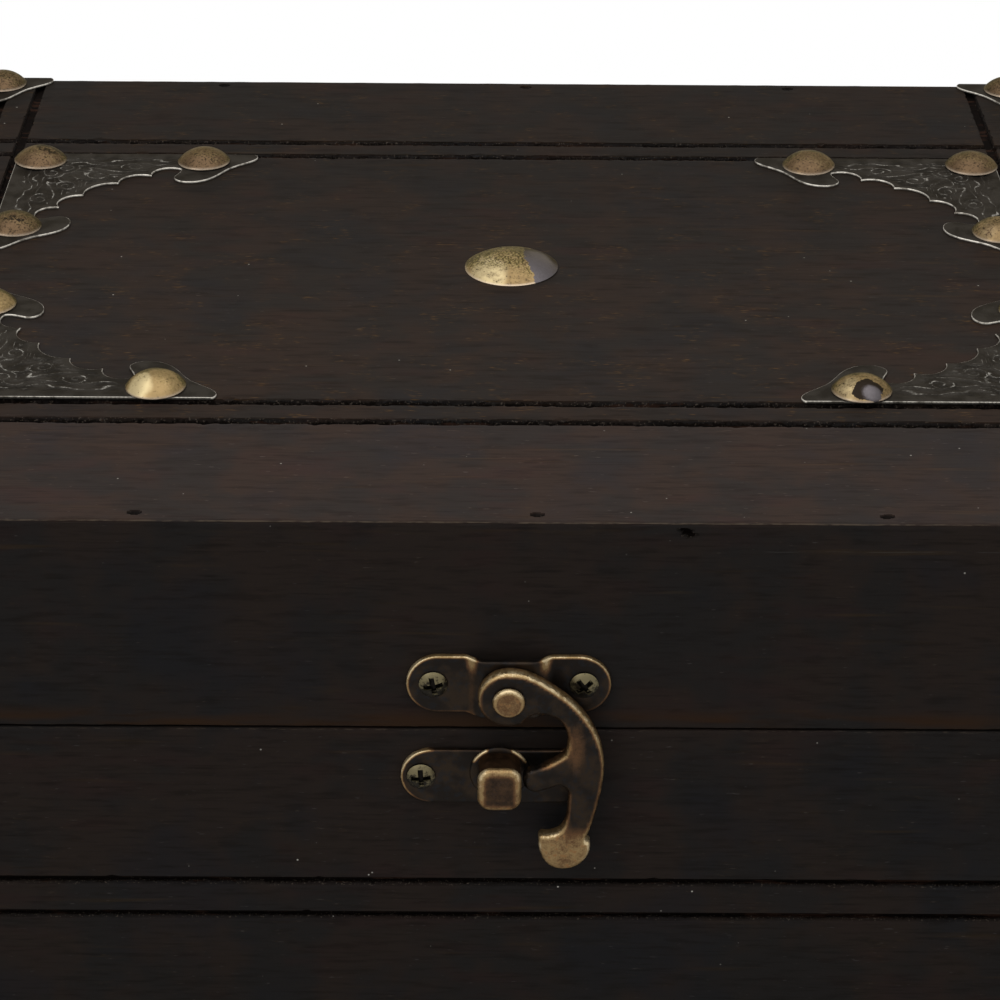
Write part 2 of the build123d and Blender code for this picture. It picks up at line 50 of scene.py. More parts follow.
mm = 0.001
camera_place = Vector((-3.8, -446.8, 292.3)) * mm
camera_drop = math.radians(28.0)
camera_turn = math.radians(0.378)
camera_roll = math.radians(0.512)
camera_lens = 113.47
camera_near = 10 * mm

dip = math.sin(camera_drop)
ahead = math.cos(camera_drop)
level_view = Matrix(((1, 0, 0), (0, -dip, -ahead), (0, ahead, -dip)))
view_rows = Matrix.Rotation(camera_roll, 3, "Z") @ level_view @ Matrix.Rotation(camera_turn, 3, "Z")
camera_axes = Matrix((view_rows[0], -view_rows[1], -view_rows[2])).transposed()

camera = bpy.data.objects.new("camera", bpy.data.cameras.new("camera"))
camera.data.lens = camera_lens
camera.data.clip_start = camera_near
camera.matrix_world = Matrix.Translation(camera_place) @ camera_axes.to_4x4()
bpy.context.scene.collection.objects.link(camera)
bpy.context.scene.camera = camera
bpy.context.scene.view_settings.view_transform = "Standard"


# Floor, background and lamps
# A pale paper sweep under the chest, a wide softbox above it and a small one at the upper left.


class Value:
    """A socket in a set of nodes. Arithmetic on it adds Math nodes."""

    def __init__(self, nodes, socket):
        self.nodes = nodes
        self.socket = socket

    def maths(self, operation, *others):
        inputs = dict(enumerate((self, *others)))
        return self.nodes.add("Math", {"operation": operation}, inputs)

    def __add__(self, other):
        return self.maths("ADD", other)

    def __radd__(self, other):
        return self.maths("ADD", other)

    def __sub__(self, other):
        return self.maths("SUBTRACT", other)

    def __rsub__(self, other):
        return (self * -1.0).maths("ADD", other)

    def __mul__(self, other):
        return self.maths("MULTIPLY", other)

    def __rmul__(self, other):
        return self.maths("MULTIPLY", other)

    def step(self, start, end):
        """0 below start, 1 above end and smooth between them."""
        settings = {"interpolation_type": "SMOOTHSTEP"}
        return self.nodes.add("MapRange", settings, {"Value": self, "From Min": start, "From Max": end})


class Nodes:
    """The nodes of one finish, or of the world."""

    def __init__(self, tree):
        self.tree = tree

    def add(self, kind, settings, inputs, output=0):
        """Adds a node, with its settings first, then the values or links of its inputs."""
        made = self.tree.nodes.new("ShaderNode" + kind)
        for name, value in settings.items():
            setattr(made, name, value)
        for key, value in inputs.items():
            self.feed(made.inputs[key], value)
        return Value(self, made.outputs[output]) if made.outputs else None

    def feed(self, socket, value):
        """Links a value to an input, or sets the input."""
        if isinstance(value, Value):
            self.tree.links.new(value.socket, socket)
        elif socket.type == "RGBA":
            socket.default_value = (*value, 1.0)
        else:
            socket.default_value = value

    def blend(self, share, first, second):
        """Colour between two colours."""
        inputs = dict(zip(mix_inputs, (share, first, second)))
        return self.add("Mix", {"data_type": "RGBA"}, inputs, output=mix_output)

    def seen(self):
        """1 for what the camera sees, directly, in metal or through glass."""
        paths = [self.add("LightPath", {}, {}, output=name) for name in seen_paths]
        return 1 - (1 - paths[0]) * (1 - paths[1]) * (1 - paths[2])


seen_paths = ("Is Camera Ray", "Is Glossy Ray", "Is Transmission Ray")
mix_inputs = (0, 6, 7)
mix_output = 2
floor_reach = 3.0
floor_gap = 0.05 * mm
floor_colour = (0.80, 0.80, 0.80)
paper_white = (1.0, 1.0, 1.0)
shadow_reach = (0.24, 0.33)
room_light = 0.42
overhead_place = (0.0, -0.12, 1.0)
overhead_size = 1.3
overhead_power = 9.0
window_place = (-0.85, -0.75, 0.95)
window_size = 0.5
window_power = 3.0

sheet = bmesh.new()
bmesh.ops.create_grid(sheet, x_segments=1, y_segments=1, size=floor_reach)
bmesh.ops.translate(sheet, verts=sheet.verts, vec=(0, 0, -floor_gap))
floor_mesh = bpy.data.meshes.new("floor")
sheet.to_mesh(floor_mesh)
sheet.free()
floor = bpy.data.objects.new("floor", floor_mesh)
bpy.context.scene.collection.objects.link(floor)

paper = bpy.data.materials.new("floor_paper")
paper.use_nodes = True
paper.node_tree.nodes.clear()
nodes = Nodes(paper.node_tree)
spot = nodes.add("TexCoord", {}, {}, output="Object")
away = nodes.add("VectorMath", {"operation": "LENGTH"}, {0: spot}, output="Value")
lit_paper = nodes.add("BsdfDiffuse", {}, {"Color": floor_colour})
bright_paper = nodes.add("Emission", {}, {"Color": paper_white, "Strength": 1.0})
share = nodes.seen() * away.step(*shadow_reach)
both = nodes.add("MixShader", {}, {0: share, 1: lit_paper, 2: bright_paper})
nodes.add("OutputMaterial", {}, {"Surface": both})
floor.data.materials.append(paper)

world = bpy.data.worlds.new("room")
world.use_nodes = True
world.node_tree.nodes.clear()
nodes = Nodes(world.node_tree)
strength = nodes.seen() * (1 - room_light) + room_light
air = nodes.add("Background", {}, {"Color": paper_white, "Strength": strength})
nodes.add("OutputWorld", {}, {"Surface": air})
bpy.context.scene.world = world


def soft_lamp(name, place, size, power):
    """Square lamp that faces the chest."""
    data = bpy.data.lights.new(name, "AREA")
    data.size = size
    data.energy = power
    lamp = bpy.data.objects.new(name, data)
    lamp.matrix_world = Matrix.Translation(place) @ Vector(place).to_track_quat("Z", "Y").to_matrix().to_4x4()
    bpy.context.scene.collection.objects.link(lamp)


soft_lamp("overhead", overhead_place, overhead_size, overhead_power)
soft_lamp("window", window_place, window_size, window_power)


# Wooden boards of the base and the lid
# Solid softwood, sawn to size, glued and pinned at the corners and stained almost black.
# Double saw cuts divide the faces; their lips chip, and the stain rubs off the edges. Shade is painted into
# the cuts, the brad pits and the gouge.

chest_low = Vector((-120.0, -82.0, 0.0))
chest_high = Vector((120.0, 82.0, 95.0))
seam_height = 63.0
seam_half_gap = 0.15
edge_radius = 0.45
seam_edge_radius = 0.35
foot_edge_radius = 0.3
edge_lines = (0.07, 0.17, 0.3, 0.45, 0.7)
edge_reach = 1.0
edge_start = 0.1
edge_wave = 0.13
edge_unevenness = 0.35
line_step = 0.62
line_nearest = 0.09
back_margin = 0.08
squeeze = 0.03
merge_distance = 0.0005
far = 1e6
board_smoothing = math.radians(40)
flat_face_sides = 40

# Saw cuts: the planes across each axis, their half widths, the darkness of the shade painted into them, and
# the lines that follow them
groove_planes = {0: (-88.0, -82.0, 82.0, 88.0), 1: (-52.6, -46.6, 46.6, 52.6), 2: (31.95, 37.7)}
groove_half_widths = (0.8, 0.8, 0.52)
groove_tones = (1.0, 1.0, 0.9)
groove_depth = 1.1
groove_reach = 1.75
groove_lines = (-1.35, -1.1, -0.9, -0.7, -0.35, 0.35, 0.7, 0.9, 1.1, 1.35)
run_out = 0.5
run_out_range = (77.0, 81.0)
wall_range = (-0.1, 0.1)
blur_range = (-0.25, 0.25)
floor_wave = 0.8
floor_rise = 0.08

# Their ragged lips: how fast each wave runs along a cut, and how far it moves the lip
slow_wave, slow_sway = 0.3, 0.12
quick_wave, quick_sway = 1.1, 0.14
chip_wave, chip_start, chip_size = 0.55, 0.3, 1.1
bite_range = (0.0, 0.2)
bite_depth = 0.4
chip_darkness = 0.4

# Pits of the sunk brads, and a slanting gouge in the lid's front edge
pit_lines = (-1.0, -0.7, -0.45, -0.2, 0.2, 0.45, 0.7, 1.0)
pit_radii = (0.85, 0.5)
pit_depth = 1.3
pit_reach = 2.6
pit_wave = 1.5
pit_unevenness = 0.25
pit_range = (1.15, 0.85)
pit_shadow = (1.3, 0.7)
gouge_place = Vector((23.4, -82.0, 93.5))
gouge_radii = Vector((1.0, 1.4, 0.6))
gouge_range = (1.15, 0.80)
gouge_slant = 0.45
gouge_depth = 0.9
gouge_lines = (0.85, 1.05, 1.25, 1.45, 1.65, 1.85, 2.1, 2.4)
end_pit = 116.0
top_pits = [(x, side * 79.8) for side in (-1, 1) for x in (-49.68, 3.6, 49.92)]
top_pits += [(side * 117.8, y) for side in (-1, 1) for y in (-41.0, 41.0)]
base_pits = [(side * end_pit, z) for side in (-1, 1) for z in (13.83, 49.02)]
lid_pits = [(side * end_pit, 75.07) for side in (-1, 1)]


def rise(value, start, end):
    """0 at the start, 1 at the end, and eased between them."""
    held = min(max((value - start) / (end - start), 0.0), 1.0)
    return held * held * (3 - 2 * held)


def rulings(low, high, spots):
    """Places of the lines across a face: at the given spots, and no further apart than one step."""
    marks = [low]
    for spot in sorted(spots):
        if spot - marks[-1] > line_nearest and high - spot > line_nearest:
            marks.append(spot)
    marks.append(high)
    places = []
    for start, end in zip(marks, marks[1:]):
        parts = max(1, math.ceil((end - start) / line_step))
        places += [start + (end - start) * part / parts for part in range(parts)]
    return places + [high]


def groove_share(spot, axis):
    """The saw cuts across an axis at a place: their depth and the darkness of their painted shade, as shares.
    """
    deepest, darkest = 0.0, 0.0
    for plane in groove_planes[axis]:
        offset = spot[axis] - plane
        if abs(offset) > groove_reach:
            continue
        side = math.copysign(1.0, offset)
        run = spot.x + spot.y + spot.z - spot[axis]
        slow = noise.noise((run * slow_wave, plane, side))
        quick = noise.noise((run * quick_wave, plane, side * 3))
        half = groove_half_widths[axis] + slow_sway * slow + quick_sway * quick
        chip = chip_size * max(0.0, noise.noise((run * chip_wave, plane + 9, side * 5)) - chip_start)
        inward = half - abs(offset)
        bite = bite_depth * rise(inward + chip, *bite_range) if chip > 0 else 0.0
        uneven = floor_rise * abs(noise.noise((run * floor_wave, plane + 4, offset)))
        deepest = max(deepest, rise(inward, *wall_range) * (1 - uneven), bite)
        darkness = rise(inward + chip_darkness * chip, *blur_range)
        darkest = max(darkest, darkness * groove_tones[axis])
    return deepest, darkest


def gouge_share(spot):
    """Depth of the small slanting gouge in the lid's front edge, as a share."""
    away = spot - gouge_place
    away.z += gouge_slant * away.x
    reach = Vector([part / radius for part, radius in zip(away, gouge_radii)]).length
    return rise(reach, *gouge_range)


def rounded(point, bounds, radius):
    """A point on a box, moved on to that box with its edges rounded, and how near it is to an edge."""
    if not any(abs(point[axis] - end) < merge_distance for axis, ends in bounds for end in ends):
        return point, 0.0
    core = point.copy()
    for axis, (low, high) in bounds:
        core[axis] = min(max(point[axis], low + radius), high - radius)
    offset = point - core
    if offset.length < merge_distance:
        return point, 0.0
    nearness = sorted(abs(part) for part in offset)[1] / radius
    if nearness > edge_start:
        radius *= 1 - edge_unevenness * abs(noise.noise(point * edge_wave))
    return core + offset.normalized() * radius, nearness


def board_edges(node, across):
    """Which edges of a board are rounded, and by how much."""
    sides = [(axis, (chest_low[axis], chest_high[axis])) for axis in (0, 1)]
    if node == "lid_top_board":
        return [((*sides, (2, (-far, chest_high.z))), edge_radius)]
    in_base = node.startswith("base")
    seam = (2, (-far, seam_height - seam_half_gap) if in_base else (seam_height + seam_half_gap, far))
    rules = [((sides[across], seam), seam_edge_radius)]
    if in_base:
        rules.append(((sides[across], (2, (chest_low.z, far))), foot_edge_radius))
    if across == 1:
        rules.insert(0, (sides, edge_radius))
        rules.append(((sides[0], seam), seam_edge_radius))
    return rules


def by_an_edge(spot):
    """True near an edge of the base or the lid."""
    ends = (chest_high.x - abs(spot.x), chest_high.y - abs(spot.y))
    ends += (min(abs(spot.z - height) for height in (0.0, seam_height, chest_high.z)),)
    return sum(end < edge_reach for end in ends) > 1


def ruled_face(low, high, across, face, pits):
    """Outer face of a board, ruled closely along its cuts and pits and left whole between them."""
    first, second = [axis for axis in range(3) if axis != across]
    lines, busy = {}, {}
    for place, axis in enumerate((first, second)):
        marks = [low[axis], high[axis], *groove_planes[axis]]
        spots = [plane + offset for plane in groove_planes[axis] for offset in groove_lines]
        spots += [pit[place] + offset for pit in pits for offset in pit_lines]
        spots += [low[axis] + step for step in edge_lines] + [high[axis] - step for step in edge_lines]
        lines[axis] = rulings(low[axis], high[axis], spots)
        busy[axis] = [min(abs(line - mark) for mark in marks) < groove_reach for line in lines[axis]]
    counts = [len(lines[axis]) - 1 for axis in (first, second)]
    shape = bmesh.new()
    bmesh.ops.create_grid(shape, x_segments=counts[0], y_segments=counts[1], size=1)

    flat = []
    for square in shape.faces:
        corner = square.verts[0].co
        i = round((corner.x + 1) / 2 * counts[0])
        j = round((corner.y + 1) / 2 * counts[1])
        if any(busy[first][i:i + 2] + busy[second][j:j + 2]):
            continue
        spot = (lines[first][i], lines[second][j])
        if all(math.dist(spot, pit) > pit_reach for pit in pits):
            flat.append(square)
    outer = {edge for edge in shape.edges if edge.is_boundary}
    bmesh.ops.delete(shape, geom=flat, context="FACES")
    inner = [edge for edge in shape.edges if edge.is_boundary and edge not in outer]
    for vert in shape.verts:
        place = Vector(face)
        place[first] = lines[first][round((vert.co.x + 1) / 2 * counts[0])]
        place[second] = lines[second][round((vert.co.y + 1) / 2 * counts[1])]
        vert.co = place
    bmesh.ops.holes_fill(shape, edges=inner, sides=0)
    return shape


def board(node, across, side, pits, number):
    """One board: a ruled face wrapped over its edges, with saw cuts and brad pits, and a plain back."""
    low, high = [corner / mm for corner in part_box(node)]
    first, second = [axis for axis in range(3) if axis != across]
    face, back = (high, low) if side > 0 else (low, high)
    shape = ruled_face(low, high, across, face, pits)
    marks = edge_lines + (gouge_lines if node == "lid_top_board" else ())
    depths = rulings(0.0, abs(face[across] - back[across]), marks)
    border = [edge for edge in shape.edges if edge.is_boundary]
    for depth in depths[1:]:
        made = bmesh.ops.extrude_edge_only(shape, edges=border)["geom"]
        border = [part for part in made if isinstance(part, bmesh.types.BMEdge) and part.is_boundary]
        for vert in {vert for edge in border for vert in edge.verts}:
            vert.co[across] = face[across] - side * depth

    layers = shape.verts.layers.float
    cut_shade, edge_nearness, inside, board_number = [layers.new(name) for name in ("cut_shade", "edge_nearness", "inside", "board")]
    edges = board_edges(node, across)
    for vert in shape.verts:
        start = vert.co.copy()
        spot = start.copy()
        vert[board_number] = number
        if by_an_edge(start):
            for bounds, radius in edges:
                spot, nearness = rounded(spot, bounds, radius)
                vert[edge_nearness] = max(vert[edge_nearness], nearness)
        shares = [groove_share(start, axis) for axis in range(3)]
        if max(share[1] for share in shares) > 0:
            for axis in range(3):
                others = shares[:axis] + shares[axis + 1:]
                depth = groove_depth * max(share[0] for share in others)
                if axis == 2:
                    depth *= 1 - run_out * rise(abs(start.y), *run_out_range)
                tone = max(share[1] for share in others)
                for sign, end in ((1, chest_high[axis]), (-1, chest_low[axis])):
                    reach = sign * (end - spot[axis])
                    if axis == 2 and sign < 0 or reach > groove_depth:
                        continue
                    # Painted shade in the saw cut.
                    vert[cut_shade] = max(vert[cut_shade], tone)
                    if depth > reach * (1 - squeeze):
                        spot[axis] = end - sign * (depth + squeeze * reach)
        if abs(start[across] - face[across]) < merge_distance:
            for pit in pits:
                away = (start[first] - pit[0], start[second] - pit[1])
                if math.hypot(*away) < pit_reach:
                    uneven = noise.noise((away[0] * pit_wave, away[1] * pit_wave, pit[0]))
                    reach = math.hypot(away[0] / pit_radii[0], away[1] / pit_radii[1])
                    reach += pit_unevenness * uneven
                    spot[across] -= side * pit_depth * rise(reach, *pit_range)
                    # Painted shade in and around the brad pit.
                    vert[cut_shade] = max(vert[cut_shade], rise(reach, *pit_shadow))
        if (start - gouge_place).length < pit_reach:
            share = gouge_share(start)
            spot.y += gouge_depth * share
            # Painted shade in the gouge.
            vert[cut_shade] = max(vert[cut_shade], share)
        vert.co = spot
    behind = bmesh.ops.contextual_create(shape, geom=border)["faces"]
    bmesh.ops.inset_region(shape, faces=behind, thickness=back_margin, use_even_offset=True)
    for vert in {vert for made in behind for vert in made.verts}:
        vert[inside] = 1.0
        vert[cut_shade] = 0.0
        vert[edge_nearness] = 0.0
    bmesh.ops.recalc_face_normals(shape, faces=shape.faces)
    return shape


def piece(name, shape, body, finish, slot, nodes_replaced, smoothing):
    """Turns a shape in millimetres into a finished piece that rides on a body."""
    shape.transform(Matrix.Scale(mm, 4))
    if shape.calc_volume(signed=True) < 0:
        bmesh.ops.reverse_faces(shape, faces=shape.faces)
    mesh = bpy.data.meshes.new(name)
    shape.to_mesh(mesh)
    shape.free()
    smooth = [polygon.loop_total <= flat_face_sides for polygon in mesh.polygons]
    mesh.polygons.foreach_set("use_smooth", smooth)
    mesh.set_sharp_from_angle(angle=smoothing)
    made = bpy.data.objects.new(name, mesh)
    made.data.materials.append(finish)
    bpy.context.scene.collection.objects.link(made)
    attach(made, body)
    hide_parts(*nodes_replaced)
    return made


def new_finish(name, constants):
    """A material, its nodes and its shader, with the shader's constant values set."""
    material = bpy.data.materials.new(name)
    material.use_nodes = True
    nodes = Nodes(material.node_tree)
    shader = material.node_tree.nodes["Principled BSDF"]
    for key, value in constants.items():
        nodes.feed(shader.inputs[key], value)
    return material, nodes, shader


def refinish(material, *kept_nodes):
    """Gives pieces of the frame that keep their shape a new material."""
    for node in kept_nodes:
        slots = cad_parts[node].data.materials
        slots.clear()
        slots.append(material)


def millimetres(nodes, stretch=(1.0, 1.0, 1.0), shift=None):
    """The place on a piece in millimetres, stretched along its axes."""
    spot = nodes.add("TexCoord", {}, {}, output="Object")
    scale = tuple(part / mm for part in stretch)
    if shift is None:
        return nodes.add("VectorMath", {"operation": "MULTIPLY"}, {0: spot, 1: scale})
    return nodes.add("VectorMath", {"operation": "MULTIPLY_ADD"}, {0: spot, 1: scale, 2: shift})


def mark(nodes, name):
    """A value painted on the vertices of a piece."""
    return nodes.add("Attribute", {"attribute_name": name}, {}, output="Fac")


def fields_of(nodes, spaces, noises, marks=()):
    """What places the colours of a finish: soft noises of given sizes, and values painted on the piece."""
    fields = {name: mark(nodes, name) for name in marks}
    for name, (space, size, detail) in noises.items():
        inputs = {"Vector": spaces[space], "Scale": 1 / size, "Detail": detail}
        fields[name] = nodes.add("TexNoise", {}, inputs)
    return fields


def weigh(fields, sums):
    """Adds fields that are a constant and a weighted sum of other fields."""
    for name, (total, weights) in sums.items():
        for field, weight in weights.items():
            total = fields[field] * weight + total
        fields[name] = total


def within(fields, ranges, share=1.0):
    """Share of a strength that is left where each field passes from its start to its end."""
    for name, start, end in ranges:
        share = fields[name].step(start, end) * share
    return share


def layered(fields, colour, layers):
    """A colour with others laid over it, each with its strength and the ranges of fields that place it."""
    for paint, strength, ranges in layers:
        share = within(fields, ranges, fields.get(strength, strength))
        colour = share.nodes.blend(share, colour, paint)
    return colour


def surface(nodes, shader, colour, roughness, relief=None, depth=0.0, strength=0.0):
    """Feeds a shader its colour, its roughness and, where one is given, a fine relief."""
    nodes.feed(shader.inputs["Base Color"], colour)
    nodes.feed(shader.inputs["Roughness"], roughness)
    if relief:
        bump = nodes.add("Bump", {}, {"Height": relief, "Distance": depth, "Strength": strength})
        nodes.feed(shader.inputs["Normal"], bump)


wood_brown = (0.0215, 0.0152, 0.0112)
wood_grey = (0.0165, 0.0140, 0.0116)
wood_red = (0.0255, 0.0140, 0.0110)
wood_blue = (0.0125, 0.0128, 0.0136)
wood_dark = (0.0085, 0.0066, 0.0052)
wood_ochre = (0.0600, 0.0350, 0.0130)
wood_pale = (0.0620, 0.0530, 0.0450)
# Painted shade at the floor of the saw cuts, and the raw wood that shows in it
groove_shade_black = (0.0046, 0.0033, 0.0027)
groove_raw = (0.0300, 0.0150, 0.0100)
chipped_wood = (0.0750, 0.0600, 0.0480)
worn_wood_and_highlight = (0.0700, 0.0540, 0.0380)
edge_shadow = (0.0090, 0.0048, 0.0036)
seam_warm = (0.0260, 0.0130, 0.0062)
scratch_grey = (0.0500, 0.0470, 0.0440)
inside_brown = (0.0520, 0.0310, 0.0180)
inside_dark = (0.0200, 0.0120, 0.0080)
dust_grey = (0.4000, 0.3800, 0.3400)

# How the stain's tone changes, with painted sheen and shade: darker with painted shade on the lid's back,
# lighter with painted sheen on its middle panel and front band, and darker with painted shade on the chest's
# sides
back_tone_and_shade = (0.640, 0.575, 0.515)
panel_tone_and_sheen = (1.080, 1.000, 0.980)
band_tone_and_sheen = (1.510, 1.415, 1.490)
side_painted_shade = (0.795, 0.840, 0.950)
lid_face = (94.70, 94.95)
panel_start = (-53.0, -52.0)
back_range = (-48.0, 72.0)

grain_length = {"x": (0.045, 1.0, 1.0), "y": (1.0, 0.045, 1.0)}
dash_length = {"x": (0.17, 1.0, 1.0), "y": (1.0, 0.17, 1.0)}
board_shift = 61.0
scratch_height = 91.1
scratch_sway = 0.6
dust_spacing = 0.21
dark_cut = (0.40, 0.60)
wood_relief = (0.016 * mm, 0.8)

# Noises of the wood: the space that each one lies in, its size in millimetres and its detail
wood_noises = {
    "patches": ("plain", 11.0, 3.0),
    "tints": ("plain", 15.0, 3.0),
    "groups": ("plain", 6.0, 3.0),
    "spans": ("plain", 9.0, 2.0),
    "nibbles": ("plain", 0.42, 3.0),
    "crumbs": ("plain", 0.30, 1.0),
    "fibres": ("grain", 0.30, 3.0),
    "figure": ("grain", 1.1, 3.0),
    "warmth": ("dashes", 3.6, 3.0),
    "blotches": ("dashes", 0.9, 3.0),
    "ticks": ("dashes", 0.28, 1.0),
    "splinters": ("dashes", 1.1, 3.0),
    "rub": ("dashes", 0.22, 4.0),
}

# Sums of fields: a constant, and the weight of each field
wood_sums = {
    "dark_strength": (0.42, {"panel": 0.14}),
    "ochre_strength": (0.12, {"panel": 0.83}),
    "ragged_cut": (-0.45, {"cut_shade": 1.0, "nibbles": 0.9}),
    "edge_rub_and_highlight": (-1.55, {"rub": 2.4, "spans": 1.6}),
    "sheen": (0.52, {"blotches": 0.14, "cut_shade": 0.3, "behind": 0.12}),
}

# Layers, from the bottom up: colour, strength, and the fields that place it with their starts and ends
stain_layers = (
    (wood_grey, 1.0, (("patches", 0.40, 0.60),)),
    (wood_blue, 0.45, (("tints", 0.50, 0.68),)),
    (wood_red, 0.42, (("tints", 0.50, 0.34), ("warmth", 0.42, 0.62))),
    (wood_dark, 0.44, (("fibres", 0.50, 0.74),)),
    (wood_dark, "dark_strength", (("blotches", 0.50, 0.72),)),
    (wood_ochre, 0.22, (("figure", 0.60, 0.76), ("warmth", 0.40, 0.60))),
    (wood_ochre, "ochre_strength", (("ticks", 0.58, 0.76), ("groups", 0.51, 0.63))),
    (wood_pale, 0.5, (("ticks", 0.73, 0.81),)),
)
side_layers = (
    (seam_warm, 0.75, (("height", 62.9, 63.1), ("height", 67.0, 64.0), ("warmth", 0.38, 0.60))),
    (scratch_grey, 0.35, (("off_scratch", 0.09, 0.03), ("across", 28.0, 34.0), ("blotches", 0.42, 0.60))),
)
cut_layers = ((groove_raw, 0.70, (("splinters", 0.54, 0.66),)),)
# The band along a rounded edge. On the lid top's edge a thin pale line is partly worn wood, partly a painted
# highlight, and painted shade lies on the rounding below it.
edge_band = (("edge_nearness", 0.30, 0.55), ("ragged_cut", 0.60, 0.40))
pale_worn_and_highlight_line = (("height", 94.74, 94.84), ("height", 94.95, 94.90))
edge_layers = (
    (chipped_wood, 0.8, (("cut_shade", 0.05, 0.30), ("cut_shade", 0.95, 0.62), ("crumbs", 0.61, 0.71))),
    (edge_shadow, 0.85, (*edge_band, ("height", 94.0, 94.2), ("height", 94.80, 94.72))),
    (worn_wood_and_highlight, 0.75, (*edge_band, *pale_worn_and_highlight_line, ("edge_rub_and_highlight", 0.10, 0.75))),
    (worn_wood_and_highlight, 0.35, (*edge_band, ("height", 94.0, 92.0), ("rub", 0.52, 0.66))),
)
inside_strength = 0.75
inside_streaks = (
    (0.55, (("fibres", 0.42, 0.70),)),
    (0.35, (("blotches", 0.50, 0.70),)),
)
inside_layers = ((wood_ochre, 0.4, (("ticks", 0.62, 0.74),)),)
dust_layers = ((dust_grey, 0.85, (("dust", 0.036, 0.014), ("groups", 0.40, 0.60))),)
relief_weights = {"blotches": 0.7, "fibres": 1.0, "raised": 0.6}
raised_range = (0.70, 0.78)


def stained_wood(name, along, bareness=0.0):
    """Near-black stain over fine straight grain, with a low wax sheen; painted sheen and shade are multiplied
    into it, and painted shade lies in its cuts and pits. Bare wood has only a thin stain.
    """
    material, nodes, shader = new_finish(name, {"Specular IOR Level": 0.02})
    number = mark(nodes, "board") * board_shift
    plain = millimetres(nodes)
    grain = millimetres(nodes, grain_length[along], number)
    dashes = millimetres(nodes, dash_length[along], number)
    spaces = {"plain": plain, "grain": grain, "dashes": dashes}
    fields = fields_of(nodes, spaces, wood_noises, ("cut_shade", "edge_nearness", "inside"))
    for part, axis in (("across", "X"), ("depth", "Y"), ("height", "Z")):
        fields[part] = nodes.add("SeparateXYZ", {}, {"Vector": plain}, output=axis)
    fields["behind"] = fields["inside"] + bareness
    fields["panel"] = fields["height"].step(*lid_face) * fields["depth"].step(*panel_start)
    fields["raised"] = fields["ticks"].step(*raised_range)
    swaying_height = fields["height"] + fields["patches"] * scratch_sway
    fields["off_scratch"] = (swaying_height - scratch_height).maths("ABSOLUTE")
    cells = {"Vector": plain, "Scale": dust_spacing}
    fields["dust"] = nodes.add("TexVoronoi", {}, cells, output="Distance")
    weigh(fields, wood_sums)

    colour = layered(fields, wood_brown, stain_layers)
    # Painted sheen and shade multiplied into the stain: lighter towards the lid top's front, darker at its
    # back, darker on the sides.
    tone = nodes.blend(fields["depth"].step(*back_range), panel_tone_and_sheen, back_tone_and_shade)
    tone = nodes.blend(fields["depth"].step(*panel_start), band_tone_and_sheen, tone)
    tone = nodes.blend(fields["height"].step(*lid_face), side_painted_shade, tone)
    colour = nodes.add("VectorMath", {"operation": "MULTIPLY"}, {0: colour, 1: tone})
    colour = layered(fields, colour, side_layers)
    # Painted shade in the cuts, pits and gouge, with patches of raw wood.
    cut_floor = layered(fields, groove_shade_black, cut_layers)
    colour = nodes.blend(fields["ragged_cut"].step(*dark_cut), colour, cut_floor)
    colour = layered(fields, colour, edge_layers)

    streaks = sum(within(fields, ranges, strength) for strength, ranges in inside_streaks)
    inner_colour = layered(fields, nodes.blend(streaks, inside_brown, inside_dark), inside_layers)
    colour = nodes.blend(fields["behind"] * inside_strength, colour, inner_colour)
    colour = layered(fields, colour, dust_layers)
    weigh(fields, {"relief": (0.0, relief_weights)})
    surface(nodes, shader, colour, fields["sheen"], fields["relief"], *wood_relief)
    return material


wood_along_x = stained_wood("stained_wood_along_x", "x")
wood_along_y = stained_wood("stained_wood_along_y", "y")

boards = (
    ("lid_top_board", 2, 1, top_pits, "lid"),
    ("lid_front_rail", 1, -1, lid_pits, "lid"),
    ("lid_back_rail", 1, 1, lid_pits, "lid"),
    ("lid_left_rail", 0, -1, (), "lid"),
    ("lid_right_rail", 0, 1, (), "lid"),
    ("base_front_board", 1, -1, base_pits, "base"),
    ("base_back_board", 1, 1, base_pits, "base"),
    ("base_left_board", 0, -1, (), "base"),
    ("base_right_board", 0, 1, (), "base"),
)
for number, (node, across, side, pits, body) in enumerate(boards):
    finish = wood_along_y if across == 0 else wood_along_x
    shape = board(node, across, side, pits, number)
    piece(node + "_stained", shape, body, finish, "stained_wood", [node], board_smoothing)


# Floor board of the base
# A thin plain board set between the four walls, stained less than the outside.

inner_wood = stained_wood("inner_wood", "x", 1.0)
refinish(inner_wood, "base_bottom_board")


# Corner plates
# Thin steel sheet, pressed with flowing strands and scrolls, and blackened. The cut edge is left bright, and
# the strands' ridges are rubbed bright, with painted glints along them.

plate_leg = 40.4
plate_thickness = 0.45
plate_seat = 95.0
plate_grid = 0.2
plate_corners = {"inner": (81.5, 46.1), "outer": (120.0, 82.0)}
corner_signs = {"front_left": (-1, -1), "front_right": (1, -1), "back_left": (-1, 1), "back_right": (1, 1)}
strand_gap = 1.5
strand_height = 0.13
strand_warp = 0.9
strand_warp_scale = 0.28
sway_wave, strand_sway = (0.11, 0.30), 1.7
knot_wave, strand_knots = (0.26, 0.60), 0.9
plain_border = (0.55, 1.25)
plain_edge = (1.3, 2.2)
plain_tip = (28.0, 25.0)
rim_reach = 0.20
rim_drop = 0.10
rim_shine = 0.80
foot_shine = 0.25
ripple_wave, ripple_height = 0.5, 0.07
edge_spacing = 0.12
plate_smoothing = math.radians(60)

# Scrolls: middle and radius, which way they turn, and the gap between their turns
scrolls = (
    (8.4, 6.6, 2.3, 1),
    (14.2, 9.4, 1.9, -1),
    (19.4, 6.0, 1.7, 1),
    (5.6, 11.6, 1.8, -1),
)
scroll_gap = 1.15


